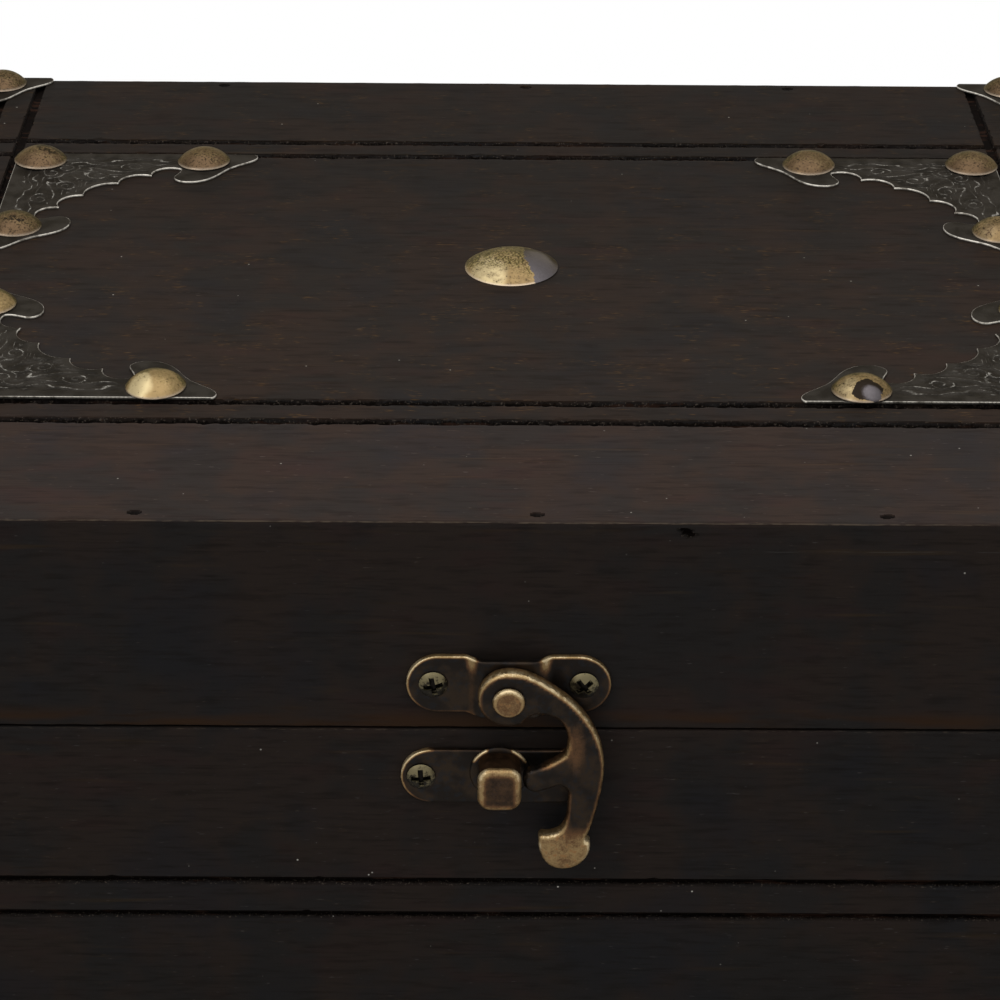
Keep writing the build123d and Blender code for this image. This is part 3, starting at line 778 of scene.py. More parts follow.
def pressed_strands(spot):
    """Height of the pressed pattern at a place on a plate, from -1 to 1."""
    along, beside = max(spot.x, spot.y), min(spot.x, spot.y)
    place = Vector((along, beside, 2.0)) * strand_warp_scale
    along += strand_warp * noise.noise(place)
    beside += strand_warp * noise.noise(place.yxz)
    for x, y, radius, turn in scrolls:
        reach = math.hypot(along - x, beside - y)
        if reach < radius:
            angle = math.atan2(beside - y, along - x)
            return max(
                math.cos(2 * math.pi * reach / scroll_gap + turn * angle),
                1 - abs(radius - 2 * edge_spacing - reach) / plate_grid,
            )
    sway = noise.noise((along * sway_wave[0], beside * sway_wave[1], 4))
    knots = noise.noise((along * knot_wave[0], beside * knot_wave[1], 9))
    return math.cos(2 * math.pi * (beside / strand_gap + strand_sway * sway + strand_knots * knots))


def outline_of(node, axis, side):
    """Flat face with the outline that a node shows along an axis, without its holes, in millimetres."""
    shape = bmesh.new()
    shape.from_mesh(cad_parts[node].data)
    shape.transform(Matrix.Scale(1 / mm, 4))
    bmesh.ops.remove_doubles(shape, verts=shape.verts, dist=merge_distance)
    ends = [vert.co[axis] for vert in shape.verts]
    end = max(ends) if side > 0 else min(ends)
    near = merge_distance * 10
    away = [face for face in shape.faces if any(abs(vert.co[axis] - end) > near for vert in face.verts)]
    bmesh.ops.delete(shape, geom=away, context="FACES")
    rims = [edge for edge in shape.edges if edge.is_boundary]
    loops = boundary_loops(rims)
    longest = max(loops, key=lambda loop: sum(edge.calc_length() for edge in loop))
    holes = [edge for loop in loops if loop is not longest for edge in loop]
    if holes:
        bmesh.ops.holes_fill(shape, edges=holes, sides=0)
    bmesh.ops.dissolve_faces(shape, faces=shape.faces, use_verts=False)
    return shape


def boundary_loops(edges):
    """Edges sorted into connected loops."""
    left = set(edges)
    loops = []
    while left:
        loop = []
        ahead_edges = [left.pop()]
        while ahead_edges:
            edge = ahead_edges.pop()
            loop.append(edge)
            for vert in edge.verts:
                for other in vert.link_edges:
                    if other in left:
                        left.remove(other)
                        ahead_edges.append(other)
        loops.append(loop)
    return loops


def edge_tree(shape):
    """Search tree over places along every edge of a flat shape."""
    places = []
    for edge in shape.edges:
        count = math.ceil(edge.calc_length() / edge_spacing)
        start, end = [vert.co for vert in edge.verts]
        places += [start.lerp(end, step / count) for step in range(count)]
    tree = kdtree.KDTree(len(places))
    for index, place in enumerate(places):
        tree.insert(place, index)
    tree.balance()
    return tree


def cut_through(shape, place, direction):
    """Cuts every face along a plane."""
    everything = [*shape.verts, *shape.edges, *shape.faces]
    bmesh.ops.bisect_plane(shape, geom=everything, plane_co=place, plane_no=direction, dist=merge_distance)


def pressed_plate():
    """One plate with its corner at the origin and its legs along X and Y."""
    shape = outline_of("inner_corner_plate_front_left", 2, 1)
    corner = plate_corners["inner"]
    bmesh.ops.translate(shape, verts=shape.verts, vec=(corner[0], corner[1], -plate_seat))
    for vert in shape.verts:
        vert.co.z = 0.0
    edges = edge_tree(shape)
    for axis in (0, 1):
        direction = Vector((1 - axis, axis, 0))
        for step in range(1, math.floor(plate_leg / plate_grid) + 1):
            cut_through(shape, direction * step * plate_grid, direction)
    bmesh.ops.triangulate(shape, faces=[face for face in shape.faces if len(face.verts) > 4])

    relief = shape.verts.layers.float.new("relief")
    rim = shape.verts.layers.float.new("rim")
    border = [edge for edge in shape.edges if edge.is_boundary]
    for vert in shape.verts:
        flat = Vector((vert.co.x, vert.co.y, 0))
        inward = edges.find(flat)[2]
        beside, along = sorted((flat.x, flat.y))
        room = rise(inward, *plain_border) * rise(beside, *plain_edge) * rise(along, *plain_tip)
        strand = 0.5 + 0.5 * pressed_strands(flat)
        ripple = noise.noise(flat * ripple_wave) * room
        edge_share = rise(inward, rim_reach, 0)
        vert[relief] = strand * room
        vert[rim] = rim_shine * edge_share
        raised = (strand_height * (strand - 1) + ripple_height * (ripple - 0.5)) * room
        vert.co.z = plate_thickness + raised - rim_drop * edge_share
    made = bmesh.ops.extrude_edge_only(shape, edges=border)["geom"]
    for part in made:
        if isinstance(part, bmesh.types.BMVert):
            part.co.z = 0.0
            part[rim] = foot_shine
    foot = [part for part in made if isinstance(part, bmesh.types.BMEdge) and part.is_boundary]
    bmesh.ops.contextual_create(shape, geom=foot)
    bmesh.ops.recalc_face_normals(shape, faces=shape.faces)
    return shape


plate_black = (0.0172, 0.0155, 0.0134)
plate_field = (0.0330, 0.0295, 0.0252)
plate_line_rub_and_glint = (0.3000, 0.2850, 0.2550)
plate_tint = (0.55, 0.52, 0.48)
rim_bright = (0.6200, 0.5800, 0.5100)
rim_dull = (0.2100, 0.1900, 0.1600)
plate_relief = (0.02 * mm, 0.7)
line_rub = (0.46, 0.62)
plate_noises = {"clouds": ("plain", 3.0, 4.0), "grit": ("plain", 0.25, 3.0), "rubbed_and_lit": ("plain", 1.3, 3.0)}
plate_sums = {
    "gritty": (-0.15, {"clouds": 1.0, "grit": 0.3}),
    "ridge": (-0.20, {"relief": 1.0, "grit": 0.40}),
    "line_strength": (0.16, {"line_rub": 0.84}),
    "roughness": (0.42, {"clouds": 0.2, "rim": -0.1}),
    "pits": (0.0, {"grit": 1.0, "clouds": 0.5}),
}

constants = {"Metallic": 0.9, "Specular IOR Level": 0.05, "Specular Tint": plate_tint}
plate_metal, nodes, shader = new_finish("corner_plate_metal", constants)
fields = fields_of(nodes, {"plain": millimetres(nodes)}, plate_noises, ("relief", "rim"))
fields["line_rub"] = fields["rubbed_and_lit"].step(*line_rub)
weigh(fields, plate_sums)
bright = layered(fields, rim_dull, ((rim_bright, 1.0, (("rubbed_and_lit", 0.34, 0.54),)),))
# The pale lines on the ridges are partly rubbed metal, partly painted glints.
plate_layers = (
    (plate_field, 1.0, (("gritty", 0.35, 0.65),)),
    (plate_line_rub_and_glint, "line_strength", (("ridge", 0.86, 1.02),)),
    (bright, 1.0, (("rim", 0.25, 0.90),)),
)
colour = layered(fields, plate_black, plate_layers)
surface(nodes, shader, colour, fields["roughness"], fields["pits"], *plate_relief)

master_plate = pressed_plate()
for kind, (corner_x, corner_y) in plate_corners.items():
    for corner_name, (sign_x, sign_y) in corner_signs.items():
        shape = master_plate.copy()
        flip = Matrix.Diagonal((-sign_x, -sign_y, 1, 1))
        shape.transform(Matrix.Translation((sign_x * corner_x, sign_y * corner_y, plate_seat)) @ flip)
        bmesh.ops.recalc_face_normals(shape, faces=shape.faces)
        node = f"{kind}_corner_plate_{corner_name}"
        piece(node + "_pressed", shape, "lid", plate_metal, "corner_plate_metal", [node], plate_smoothing)
master_plate.free()


# Domed nails
# Brass-plated steel caps on a shank, driven through the plates; patina and knocks make each one different.

nail_sizes = {"radius": 4.35, "height": 2.4, "shank_radius": 0.85}
centre_nail_sizes = {"radius": 7.2, "height": 2.4, "shank_radius": 1.1}
centre_nail_place = (0.6, 1.0, 95.0)
nail_lip = 0.16
nail_lip_turn = 0.10
nail_foot = 88.5
nail_steps = 64
nail_rings = 18
nail_shares = ((0.100, 0.078), (0.772, 0.083), (0.083, 0.772))
nail_tilt = math.radians(1.6)
nail_dent = 0.05
nail_smoothing = math.radians(50)

# How dull each nail is, and how coarse the patina of the small nails and of the middle one
nail_tones = (0.10, 0.0, 0.2, 0.5, 0.42, 0.45, 1.05, 1.0, 1.25, 1.0, 0.75, 0.55)
nail_tones += (0.3, 0.4, 0.5, 0.3, 0.2, 0.5, 1.5, 1.4, 1.4, 1.5, 1.4, 1.3)
centre_nail_tone = 0.22
nail_coarseness = 0.25
centre_coarseness = 1.0

# Dark patches: the nail's number, the patch's middle and its two radii, in shares of the nail's radius,
# how much of the patch is dark, and how far its blue-grey middle reaches
nail_patches = (
    (6, 0.30, 0.05, 0.50, 0.40, 0.56, 0.0),
    (4, 0.13, -0.60, 0.47, 0.34, 1.0, 0.95),
    (8, 0.10, -0.30, 0.40, 0.20, 0.5, 0.0),
    (11, 0.20, 0.10, 0.45, 0.30, 0.5, 0.0),
)
centre_patches = ((0, 0.88, 0.05, 0.56, 1.20, 1.0, 3.0),)

# Waves across a nail: how fast they run, and how far apart two nails lie in the noise
wobble_wave = (2.2, 5.3)
patch_wave = (4.0, 1.0)
dent_wave = (1.7, 3.7)

# Where the marks on a nail start and are full, in shares of its radius, and how much the waves move them. The
# lip and gleam marks are painted highlights, the back and rim marks painted shade.
patch_sway, patch_range = 0.30, (1.15, 0.90)
glow_shift, glow_blur = (0.3, -0.4), 0.5
lip_range, lip_front = (0.955, 0.985), (0.35, -0.65)
back_sway, back_shade = 0.35, (-0.20, 0.65)
rim_sway, rim_shade, rim_back, rim_strength = 0.2, (0.66, 1.0), (-0.75, 0.25), 0.45
gleam_place, gleam_radii = (-0.50, -0.45), (0.42, 0.62)
gleam_sway, gleam_range = 0.5, (1.6, 0.3)
coarse_slant, coarse_range = 0.3, (-0.72, -0.32)

random.seed(7)


def turned(profile, steps):
    """Round shape spun about Z from a half outline of radius and height pairs."""
    shape = bmesh.new()
    points = [shape.verts.new((radius, 0, height)) for radius, height in profile]
    edges = [shape.edges.new(pair) for pair in zip(points, points[1:])]
    around = {"cent": (0, 0, 0), "axis": (0, 0, 1), "angle": 2 * math.pi, "steps": steps}
    bmesh.ops.spin(shape, geom=points + edges, **around, use_merge=True)
    bmesh.ops.remove_doubles(shape, verts=shape.verts, dist=merge_distance)
    bmesh.ops.recalc_face_normals(shape, faces=shape.faces)
    return shape


def gather(whole, shape):
    """Adds a shape to a group of shapes and frees it."""
    mesh = bpy.data.meshes.new("part")
    shape.to_mesh(mesh)
    shape.free()
    whole.from_mesh(mesh)
    bpy.data.meshes.remove(mesh)


def wave(flat, number, rate, apart):
    """Smooth noise across the face of a nail."""
    return noise.noise((flat.x * rate, flat.y * rate, number * apart))


def off_centre(flat, place, radii):
    """Distance from a place on a nail, in shares of two radii."""
    return math.hypot((flat.x - place[0]) / radii[0], (flat.y - place[1]) / radii[1])


def domed_nail(place, number, tone, patches, coarseness, radius, height, shank_radius):
    """A nail with a lipped dome, leaning a little, its dark patches, painted shade over its back and rim, and
    painted highlights at its lower left and along its front lip.
    """
    ball = (radius**2 + (height - nail_lip) ** 2) / (2 * (height - nail_lip))
    widest = math.asin(radius / ball)
    angles = [widest * step / nail_rings for step in range(nail_rings + 1)]
    profile = [(ball * math.sin(angle), height - ball * (1 - math.cos(angle))) for angle in angles]
    profile += [(radius, nail_lip * 0.5), (radius - nail_lip_turn, 0.0), (shank_radius, 0.0)]
    profile += [(shank_radius, nail_foot - place[2]), (0.0, nail_foot - place[2])]
    shape = turned(profile, nail_steps)
    names = ("dark_patch", "lip_highlight", "painted_shade", "glow", "age", "painted_highlight", "coarse")
    dark_patch, lip_highlight, painted_shade, glow, age, painted_highlight, coarse = [shape.verts.layers.float.new(name) for name in names]
    for vert in shape.verts:
        flat = Vector((vert.co.x, vert.co.y)) / radius
        wobble = wave(flat, number, *wobble_wave)
        vert[age] = tone
        for owner, x, y, wide, deep, density, middle in patches:
            if owner == number and vert.co.z > 0:
                reach = off_centre(flat, (x, y), (wide, deep)) + patch_sway * wave(flat, number, *patch_wave)
                vert[dark_patch] = max(vert[dark_patch], density * rise(reach, *patch_range))
                bright = (x + wide * glow_shift[0], y + deep * glow_shift[1])
                inner = off_centre(flat, bright, (wide, deep))
                vert[glow] = max(vert[glow], rise(inner, middle, middle - glow_blur))
        # Painted highlight along the front of the lip.
        vert[lip_highlight] = rise(flat.length, *lip_range) * rise(flat.y, *lip_front)
        # Painted shade over the back of the dome and round its rim.
        back = rise(flat.y + back_sway * wobble, *back_shade)
        rim_round = rise(flat.length + rim_sway * wobble, *rim_shade) * rise(flat.y, *rim_back)
        vert[painted_shade] = min(1.0, back + rim_strength * rim_round)
        # Painted highlight at the lower left of the dome.
        gleam = off_centre(flat, gleam_place, gleam_radii) - gleam_sway * wobble
        vert[painted_highlight] = rise(gleam, *gleam_range)
        vert[coarse] = coarseness * rise(flat.y + coarse_slant * flat.x, *coarse_range)
        if vert.co.z > 0:
            vert.co.z -= nail_dent * (1 + wave(flat, number, *dent_wave)) * (1 - flat.length**2)
    lean = Matrix.Rotation(random.uniform(-nail_tilt, nail_tilt), 4, "X")
    lean = lean @ Matrix.Rotation(random.uniform(-nail_tilt, nail_tilt), 4, "Y")
    shape.transform(Matrix.Translation(place) @ lean)
    return shape


nail_cream = (0.4300, 0.3450, 0.1900)
nail_gold = (0.2150, 0.1480, 0.0680)
nail_tan = (0.0850, 0.0540, 0.0300)
nail_olive = (0.0700, 0.0560, 0.0220)
nail_moss = (0.1500, 0.1200, 0.0380)
nail_umber = (0.0190, 0.0135, 0.0085)
nail_pink_highlight = (0.5200, 0.4200, 0.3200)
nail_dark = (0.0130, 0.0095, 0.0070)
nail_slate = (0.0880, 0.0790, 0.0830)
nail_tint = (0.75, 0.68, 0.55)
nail_relief = (0.018 * mm, 0.8)
nail_noises = {"clouds": ("plain", 2.6, 2.0), "mottle": ("plain", 0.9, 4.0), "flecks": ("plain", 0.30, 3.0)}
nail_sums = {
    "uneven": (-0.95, {"mottle": 0.9, "flecks": 0.4, "clouds": 0.6}),
    "fresh": (1.15, {"age": -1.0}),
    "aged": (0.0, {"age": 1.0, "uneven": 0.8}),
    "shaded": (0.0, {"painted_shade": 1.0, "uneven": 0.8}),
    "aged_and_painted_shade": (0.0, {"painted_shade": 1.0, "age": 0.5, "uneven": 0.7}),
    "pitted": (0.0, {"flecks": 1.0, "mottle": 0.25, "age": 0.08, "painted_shade": 0.10}),
    "patchy": (-1.05, {"dark_patch": 1.0, "mottle": 1.3, "flecks": 0.8}),
    "lip_highlight_mottle": (0.35, {"mottle": 0.6}),
    "moss_strength": (0.0, {"coarse": 0.6}),
    "grime_strength": (0.0, {"coarse": 0.75}),
    "grit_strength": (0.0, {"coarse": 0.45}),
    "roughness": (0.30, {"mottle": 0.24, "painted_shade": 0.08}),
    "grain": (0.0, {"mottle": 1.0, "flecks": 0.4}),
}
nail_products = {
    "gleam": ("painted_highlight", "fresh"),
    "lip_highlight_strength": ("lip_highlight", "lip_highlight_mottle"),
    "coarse_painted_shade": ("painted_shade", "coarse"),
}
nail_later_sums = {
    "lit": (0.0, {"gleam": 1.0, "uneven": 0.4}),
    "cloudy": (-0.3, {"glow": 1.0, "flecks": 0.6, "coarse_painted_shade": -0.9}),
}

constants = {"Metallic": 0.95, "Specular IOR Level": 0.2, "Specular Tint": nail_tint}
nail_metal, nodes, shader = new_finish("nail_brass", constants)
painted = ("painted_shade", "age", "coarse", "painted_highlight", "lip_highlight", "glow", "dark_patch")
fields = fields_of(nodes, {"plain": millimetres(nodes)}, nail_noises, painted)
weigh(fields, nail_sums)
for name, (first, second) in nail_products.items():
    fields[name] = fields[first] * fields[second]
weigh(fields, nail_later_sums)
slate = layered(fields, nail_dark, ((nail_slate, 1.0, (("cloudy", 0.0, 1.15),)),))
# Cream is the painted highlight, olive and umber are partly painted shade, pink is the painted highlight on
# the lip.
nail_layers = (
    (nail_cream, 1.0, (("lit", 0.25, 0.95),)),
    (nail_tan, 1.0, (("aged", 0.05, 0.80),)),
    (nail_olive, 0.9, (("shaded", 0.15, 0.55),)),
    (nail_umber, 0.9, (("aged_and_painted_shade", 0.55, 1.20),)),
    (nail_moss, "moss_strength", (("mottle", 0.36, 0.58),)),
    (nail_umber, "grime_strength", (("flecks", 0.46, 0.60),)),
    (nail_cream, "grit_strength", (("flecks", 0.46, 0.34),)),
    (nail_umber, 0.8, (("pitted", 0.74, 0.86),)),
    (nail_pink_highlight, "lip_highlight_strength", ()),
    (slate, 1.0, (("patchy", 0.42, 0.62),)),
)
colour = layered(fields, nail_gold, nail_layers)
surface(nodes, shader, colour, fields["roughness"], fields["grain"], *nail_relief)

whole = bmesh.new()
nail_number = 0
for kind, (corner_x, corner_y) in plate_corners.items():
    for sign_x, sign_y in corner_signs.values():
        for along, beside in nail_shares:
            x = sign_x * (corner_x - along * plate_leg)
            y = sign_y * (corner_y - beside * plate_leg)
            place = (x, y, plate_seat + plate_thickness)
            tone = nail_tones[nail_number]
            shape = domed_nail(place, nail_number, tone, nail_patches, nail_coarseness, **nail_sizes)
            gather(whole, shape)
            nail_number += 1
looks = (nail_metal, "nail_brass")
piece("corner_plate_nails_domed", whole, "lid", *looks, ["corner_plate_nails"], nail_smoothing)

ageing = (centre_nail_tone, centre_patches, centre_coarseness)
shape = domed_nail(centre_nail_place, 0, *ageing, **centre_nail_sizes)
piece("centre_nail_domed", shape, "lid", *looks, ["centre_nail"], nail_smoothing)


# Brads
# Thin headless steel nails, sunk under the surface of the wood and dulled by the stain.

brad_dark = (0.0090, 0.0070, 0.0060)
brad_rust = (0.0300, 0.0170, 0.0110)
brad_noises = {"rust": ("plain", 0.5, 3.0)}
brad_sums = {"roughness": (0.45, {"rust": 0.3})}
brad_layers = ((brad_rust, 1.0, (("rust", 0.4, 0.65),)),)

constants = {"Metallic": 0.6, "Specular IOR Level": 0.05, "Specular Tint": brad_dark}
brad_metal, nodes, shader = new_finish("nail_steel", constants)
fields = fields_of(nodes, {"plain": millimetres(nodes)}, brad_noises)
weigh(fields, brad_sums)
surface(nodes, shader, layered(fields, brad_dark, brad_layers), fields["roughness"])
refinish(brad_metal, "base_brads", "lid_brads")


# Latch plates
# Two stamped plates with round ends; the upper one rises in the middle as a bridge for the hook.
# Dark bronze patina, rubbed to brass along every edge that faces up, with a painted highlight on all that
# faces up.

front_face = -82.0
latch_plate_thickness = 0.8
latch_edge = 0.22
latch_rim = ((0.07, -0.13, 1.0), (0.13, -0.09, 0.62), (0.22, 0.02, 0.12), (0.5, 0.03, 0.0))
foot_wear = 0.6
side_wear = 0.85
hook_plate_half = 13.85
hook_plate_radius = 4.4
hook_plate_height = 70.45
bridge_top = 3.4
bridge_foot = 6.1
bridge_rise = 1.5
bridge_wear = 0.12
bridge_range = (4.8, 4.2)
bend_step = 0.3
bend_place = 5.0
bend_width = 0.65
bend_painted_sheen = 0.18
upper_bend_painted_sheen = 0.70
upper_bend_range = (1.6, 3.8)
keeper_plate_half = 13.25
keeper_plate_radius = 4.25
keeper_plate_place = (-1.45, 55.70)
keeper_straight_wear = 0.18
keeper_straight_range = (1.0, -0.5)
end_wear = 0.55
end_range = (2.6, 1.1)
slot_steps = 64
screw_spans = {"hook": 10.2, "keeper": 10.45}
dimple_radius = 2.45
dimple_depth = 0.16
dimple_range = (1.0, 0.75)
dimple_lines = (-1, -0.8, -0.6, -0.3, 0, 0.3, 0.6, 0.8, 1)
latch_smoothing = math.radians(40)


def front_matrix(x, z, proud):
    """Turns a shape drawn flat, with its height along Z, to stand out from the chest's front."""
    upright = Matrix.Rotation(math.radians(90), 4, "X")
    return Matrix.Translation((x, front_face - proud, z)) @ upright


def soften_rim(shape, faces, profile, layer):
    """Insets a face in steps of inset, drop and rub, so that its edge is rounded and worn."""
    for inset, drop, rub in profile:
        bmesh.ops.inset_region(shape, faces=faces, thickness=inset, depth=-drop, use_even_offset=True)
        for face in faces:
            for vert in face.verts:
                vert[layer] = rub


def raised_faces(shape):
    """Extrudes every face in place, and gives the new faces and their corners."""
    made = bmesh.ops.extrude_face_region(shape, geom=shape.faces[:])["geom"]
    faces = [part for part in made if isinstance(part, bmesh.types.BMFace)]
    return faces, {vert for face in faces for vert in face.verts}


def latch_plate(half, radius, span):
    """Round-ended plate that lies flat at the origin, with rubbed edges and dimples for its screws."""
    shape = bmesh.new()
    rub = shape.verts.layers.float.new("rub")
    shape.verts.layers.float.new("bare_and_sheen")
    bmesh.ops.create_circle(shape, cap_ends=True, segments=slot_steps, radius=radius)
    for vert in shape.verts:
        vert.co.x += math.copysign(half - radius, vert.co.x)
        vert[rub] = foot_wear
    top, corners = raised_faces(shape)
    for vert in corners:
        vert.co.z += latch_plate_thickness - latch_edge
        vert[rub] = side_wear
    soften_rim(shape, top, latch_rim, rub)
    for middle in (-span, span):
        for share in dimple_lines:
            cut_through(shape, (middle + share * dimple_radius, 0, 0), (1, 0, 0))
    for share in dimple_lines:
        cut_through(shape, (0, share * dimple_radius, 0), (0, 1, 0))
    for vert in shape.verts:
        reach = math.hypot(abs(vert.co.x) - span, vert.co.y) / dimple_radius
        if reach < 1 and vert.co.z > latch_edge:
            vert.co.z -= dimple_depth * rise(reach, *dimple_range)
    return shape


def wear_left_end(vert, rub, half):
    """Rubs the rounded edge of a plate's left end brighter."""
    if vert[rub] > foot_wear:
        vert[rub] += end_wear * rise(vert.co.x, end_range[0] - half, end_range[1] - half)


def raise_bridge(shape):
    """Lifts the middle of the hook plate, with soft bends at both sides, and paints a sheen on the bends that
    grows toward their top.
    """
    reach = bridge_foot + bend_step
    count = math.ceil(2 * reach / bend_step)
    for step in range(count + 1):
        cut_through(shape, (-reach + step * bend_step, 0, 0), (1, 0, 0))
    rub, bare_and_sheen = [shape.verts.layers.float[name] for name in ("rub", "bare_and_sheen")]
    for vert in shape.verts:
        away = abs(vert.co.x)
        vert[rub] *= 1 - (1 - bridge_wear) * rise(away, *bridge_range)
        wear_left_end(vert, rub, hook_plate_half)
        if vert.co.z > latch_edge:
            bend = math.exp(-(((away - bend_place) / bend_width) ** 2))
            # Painted sheen on the bends.
            vert[bare_and_sheen] = bend * (bend_painted_sheen + upper_bend_painted_sheen * rise(vert.co.y, *upper_bend_range))
        vert.co.z += bridge_rise * rise(away, bridge_foot, bridge_top)


latch_dark = (0.0140, 0.0115, 0.0100)
latch_brown = (0.0260, 0.0185, 0.0130)
latch_blue = (0.0150, 0.0165, 0.0190)
latch_copper = (0.0980, 0.0510, 0.0250)
latch_brass = (0.2500, 0.1680, 0.0780)
latch_cream = (0.5000, 0.3950, 0.2350)
latch_orange = (0.2000, 0.0900, 0.0350)
latch_tint = (0.70, 0.62, 0.52)
latch_relief = (0.035 * mm, 0.7)
bronze_upward = (-0.7, 0.7)
bronze_noises = {"clouds": ("plain", 2.8, 3.0), "mottle": ("plain", 0.8, 3.0), "flecks": ("plain", 0.22, 2.0)}
bronze_sums = {
    "uneven": (-0.15, {"mottle": 0.9, "flecks": 0.6, "clouds": 0.8}),
    "upper_rub_and_light": (0.18, {"upward": 0.85}),
    "roughness": (0.32, {"mottle": 0.25}),
    "grain": (0.0, {"mottle": 1.0, "flecks": 0.5}),
}
bronze_layers = (
    (latch_brown, 1.0, (("clouds", 0.40, 0.62),)),
    (latch_blue, 0.5, (("mottle", 0.50, 0.66),)),
    (latch_copper, 1.0, (("rubbed_and_lit", 0.08, 0.42),)),
    (latch_brass, 1.0, (("rubbed_and_lit", 0.36, 0.72),)),
    (latch_orange, 0.6, (("rubbed_and_lit", 0.40, 0.60), ("mottle", 0.54, 0.66))),
    (latch_cream, 1.0, (("rubbed_and_lit", 0.78, 1.15),)),
)


def facing_up(nodes, start, end):
    """How far a surface faces up, between two slopes."""
    facing = nodes.add("TexCoord", {}, {}, output="Normal")
    return nodes.add("SeparateXYZ", {}, {"Vector": facing}, output="Z").step(start, end)


def bronze(name, wear):
    """Dark bronze patina over brass, with a painted highlight on what faces up. Wear is how far the brass
    comes through.
    """
    constants = {"Metallic": 0.9, "Specular IOR Level": 0.2, "Specular Tint": latch_tint}
    material, nodes, shader = new_finish(name, constants)
    fields = fields_of(nodes, {"plain": millimetres(nodes)}, bronze_noises, ("rub", "bare_and_sheen"))
    fields["upward"] = facing_up(nodes, *bronze_upward)
    weigh(fields, bronze_sums)
    # Brass shows where the piece is rubbed and, as a painted highlight, more where it faces up.
    fields["rubbed_and_lit"] = (fields["rub"] * fields["upper_rub_and_light"] + fields["bare_and_sheen"]) * fields["uneven"] * wear
    colour = layered(fields, latch_dark, bronze_layers)
    surface(nodes, shader, colour, fields["roughness"], fields["grain"], *latch_relief)
    return material


latch_bronze = bronze("latch_bronze", 1.0)

shape = latch_plate(hook_plate_half, hook_plate_radius, screw_spans["hook"])
raise_bridge(shape)
shape.transform(front_matrix(0, hook_plate_height, 0))
bmesh.ops.recalc_face_normals(shape, faces=shape.faces)
piece("hook_plate_stamped", shape, "lid", latch_bronze, "latch_bronze", ["hook_plate"], latch_smoothing)

shape = latch_plate(keeper_plate_half, keeper_plate_radius, screw_spans["keeper"])
rub = shape.verts.layers.float["rub"]
straight_half = keeper_plate_half - keeper_plate_radius
straight_ends = [straight_half + part for part in keeper_straight_range]
for vert in shape.verts:
    vert[rub] *= 1 - (1 - keeper_straight_wear) * rise(abs(vert.co.x), *straight_ends)
    wear_left_end(vert, rub, keeper_plate_half)
shape.transform(front_matrix(*keeper_plate_place, 0))
bmesh.ops.recalc_face_normals(shape, faces=shape.faces)
piece("keeper_plate_stamped", shape, "base", latch_bronze, "latch_bronze", ["keeper_plate"], latch_smoothing)


# Swing hook
# A flat cast hook that turns on a rivet: a round boss, a long back, a prong for the keeper and a thumb tab.
# The back's edge and the tab are rubbed bright by fingers.

hook_side = 1.25
hook_thickness = 2.0
hook_insets = (0.10, 0.14, 0.18)
hook_round = 0.95
hook_grid = 0.45
hook_side_wear = 0.4
hook_wear = (0.66, 0.18)
tab_heights = (51.4, 46.9)
tab_wear = 0.56
palm_place = (9.2, 62.6)
palm_reach = (1.9, 5.6)
palm_range = (1.2, 0.2)
palm_wear = 0.30

# Places that fingers don't reach: their right and upper limits, and how much of the rub is lost there
prong_end, prong_loss = (5.8, 62.0), 0.85
inner_end, inner_loss = (10.5, 66.0), 0.45
sheltered_blur = 2.0


def sheltered(vert, end):
    """How far a point of the hook lies left of and below an end."""
    right, top = end
    return rise(vert.co.x, right, right - sheltered_blur) * rise(vert.co.z, top, top - sheltered_blur)


shape = outline_of("swing_hook", 1, 1)
edges = edge_tree(shape)
hook_back = shape.verts[:][0].co.y
rub, bare_and_sheen = [shape.verts.layers.float.new(name) for name in ("rub", "bare_and_sheen")]
for vert in shape.verts:
    vert[rub] = hook_side_wear
front, corners = raised_faces(shape)
for vert in corners:
    vert.co.y -= hook_side
bmesh.ops.recalc_face_normals(shape, faces=shape.faces)
for inset in hook_insets:
    bmesh.ops.inset_region(shape, faces=front, thickness=inset, use_even_offset=False)
for axis in (0, 2):
    direction = Vector((axis == 0, 0, axis == 2))
    ends = [vert.co[axis] for vert in shape.verts]
    for step in range(1, math.ceil((max(ends) - min(ends)) / hook_grid)):
        cut_through(shape, direction * (min(ends) + step * hook_grid), direction)
for vert in shape.verts:
    if vert.co.y < hook_back - hook_side + merge_distance:
        inward = edges.find(Vector((vert.co.x, hook_back, vert.co.z)))[2]
        arc = math.sqrt(1 - (1 - min(inward / hook_round, 1.0)) ** 2)
        vert.co.y = hook_back - hook_side - (hook_thickness - hook_side) * arc
        vert[rub] = rise(inward, *hook_wear)
for vert in shape.verts:
    tab = rise(vert.co.z, *tab_heights)
    palm_x = (vert.co.x - palm_place[0]) / palm_reach[0]
    palm_z = (vert.co.z - palm_place[1]) / palm_reach[1]
    vert[bare_and_sheen] = max(tab_wear * tab, palm_wear * rise(math.hypot(palm_x, palm_z), *palm_range))
    vert[rub] *= 1 - prong_loss * sheltered(vert, prong_end) * (1 - tab)
    vert[rub] *= 1 - inner_loss * sheltered(vert, inner_end)
piece("swing_hook_cast", shape, "hook", latch_bronze, "latch_bronze", ["swing_hook"], latch_smoothing)


# Rivet of the hook
# A short bronze rivet, headed over the boss and closed behind the bridge; its face is rubbed and pitted.

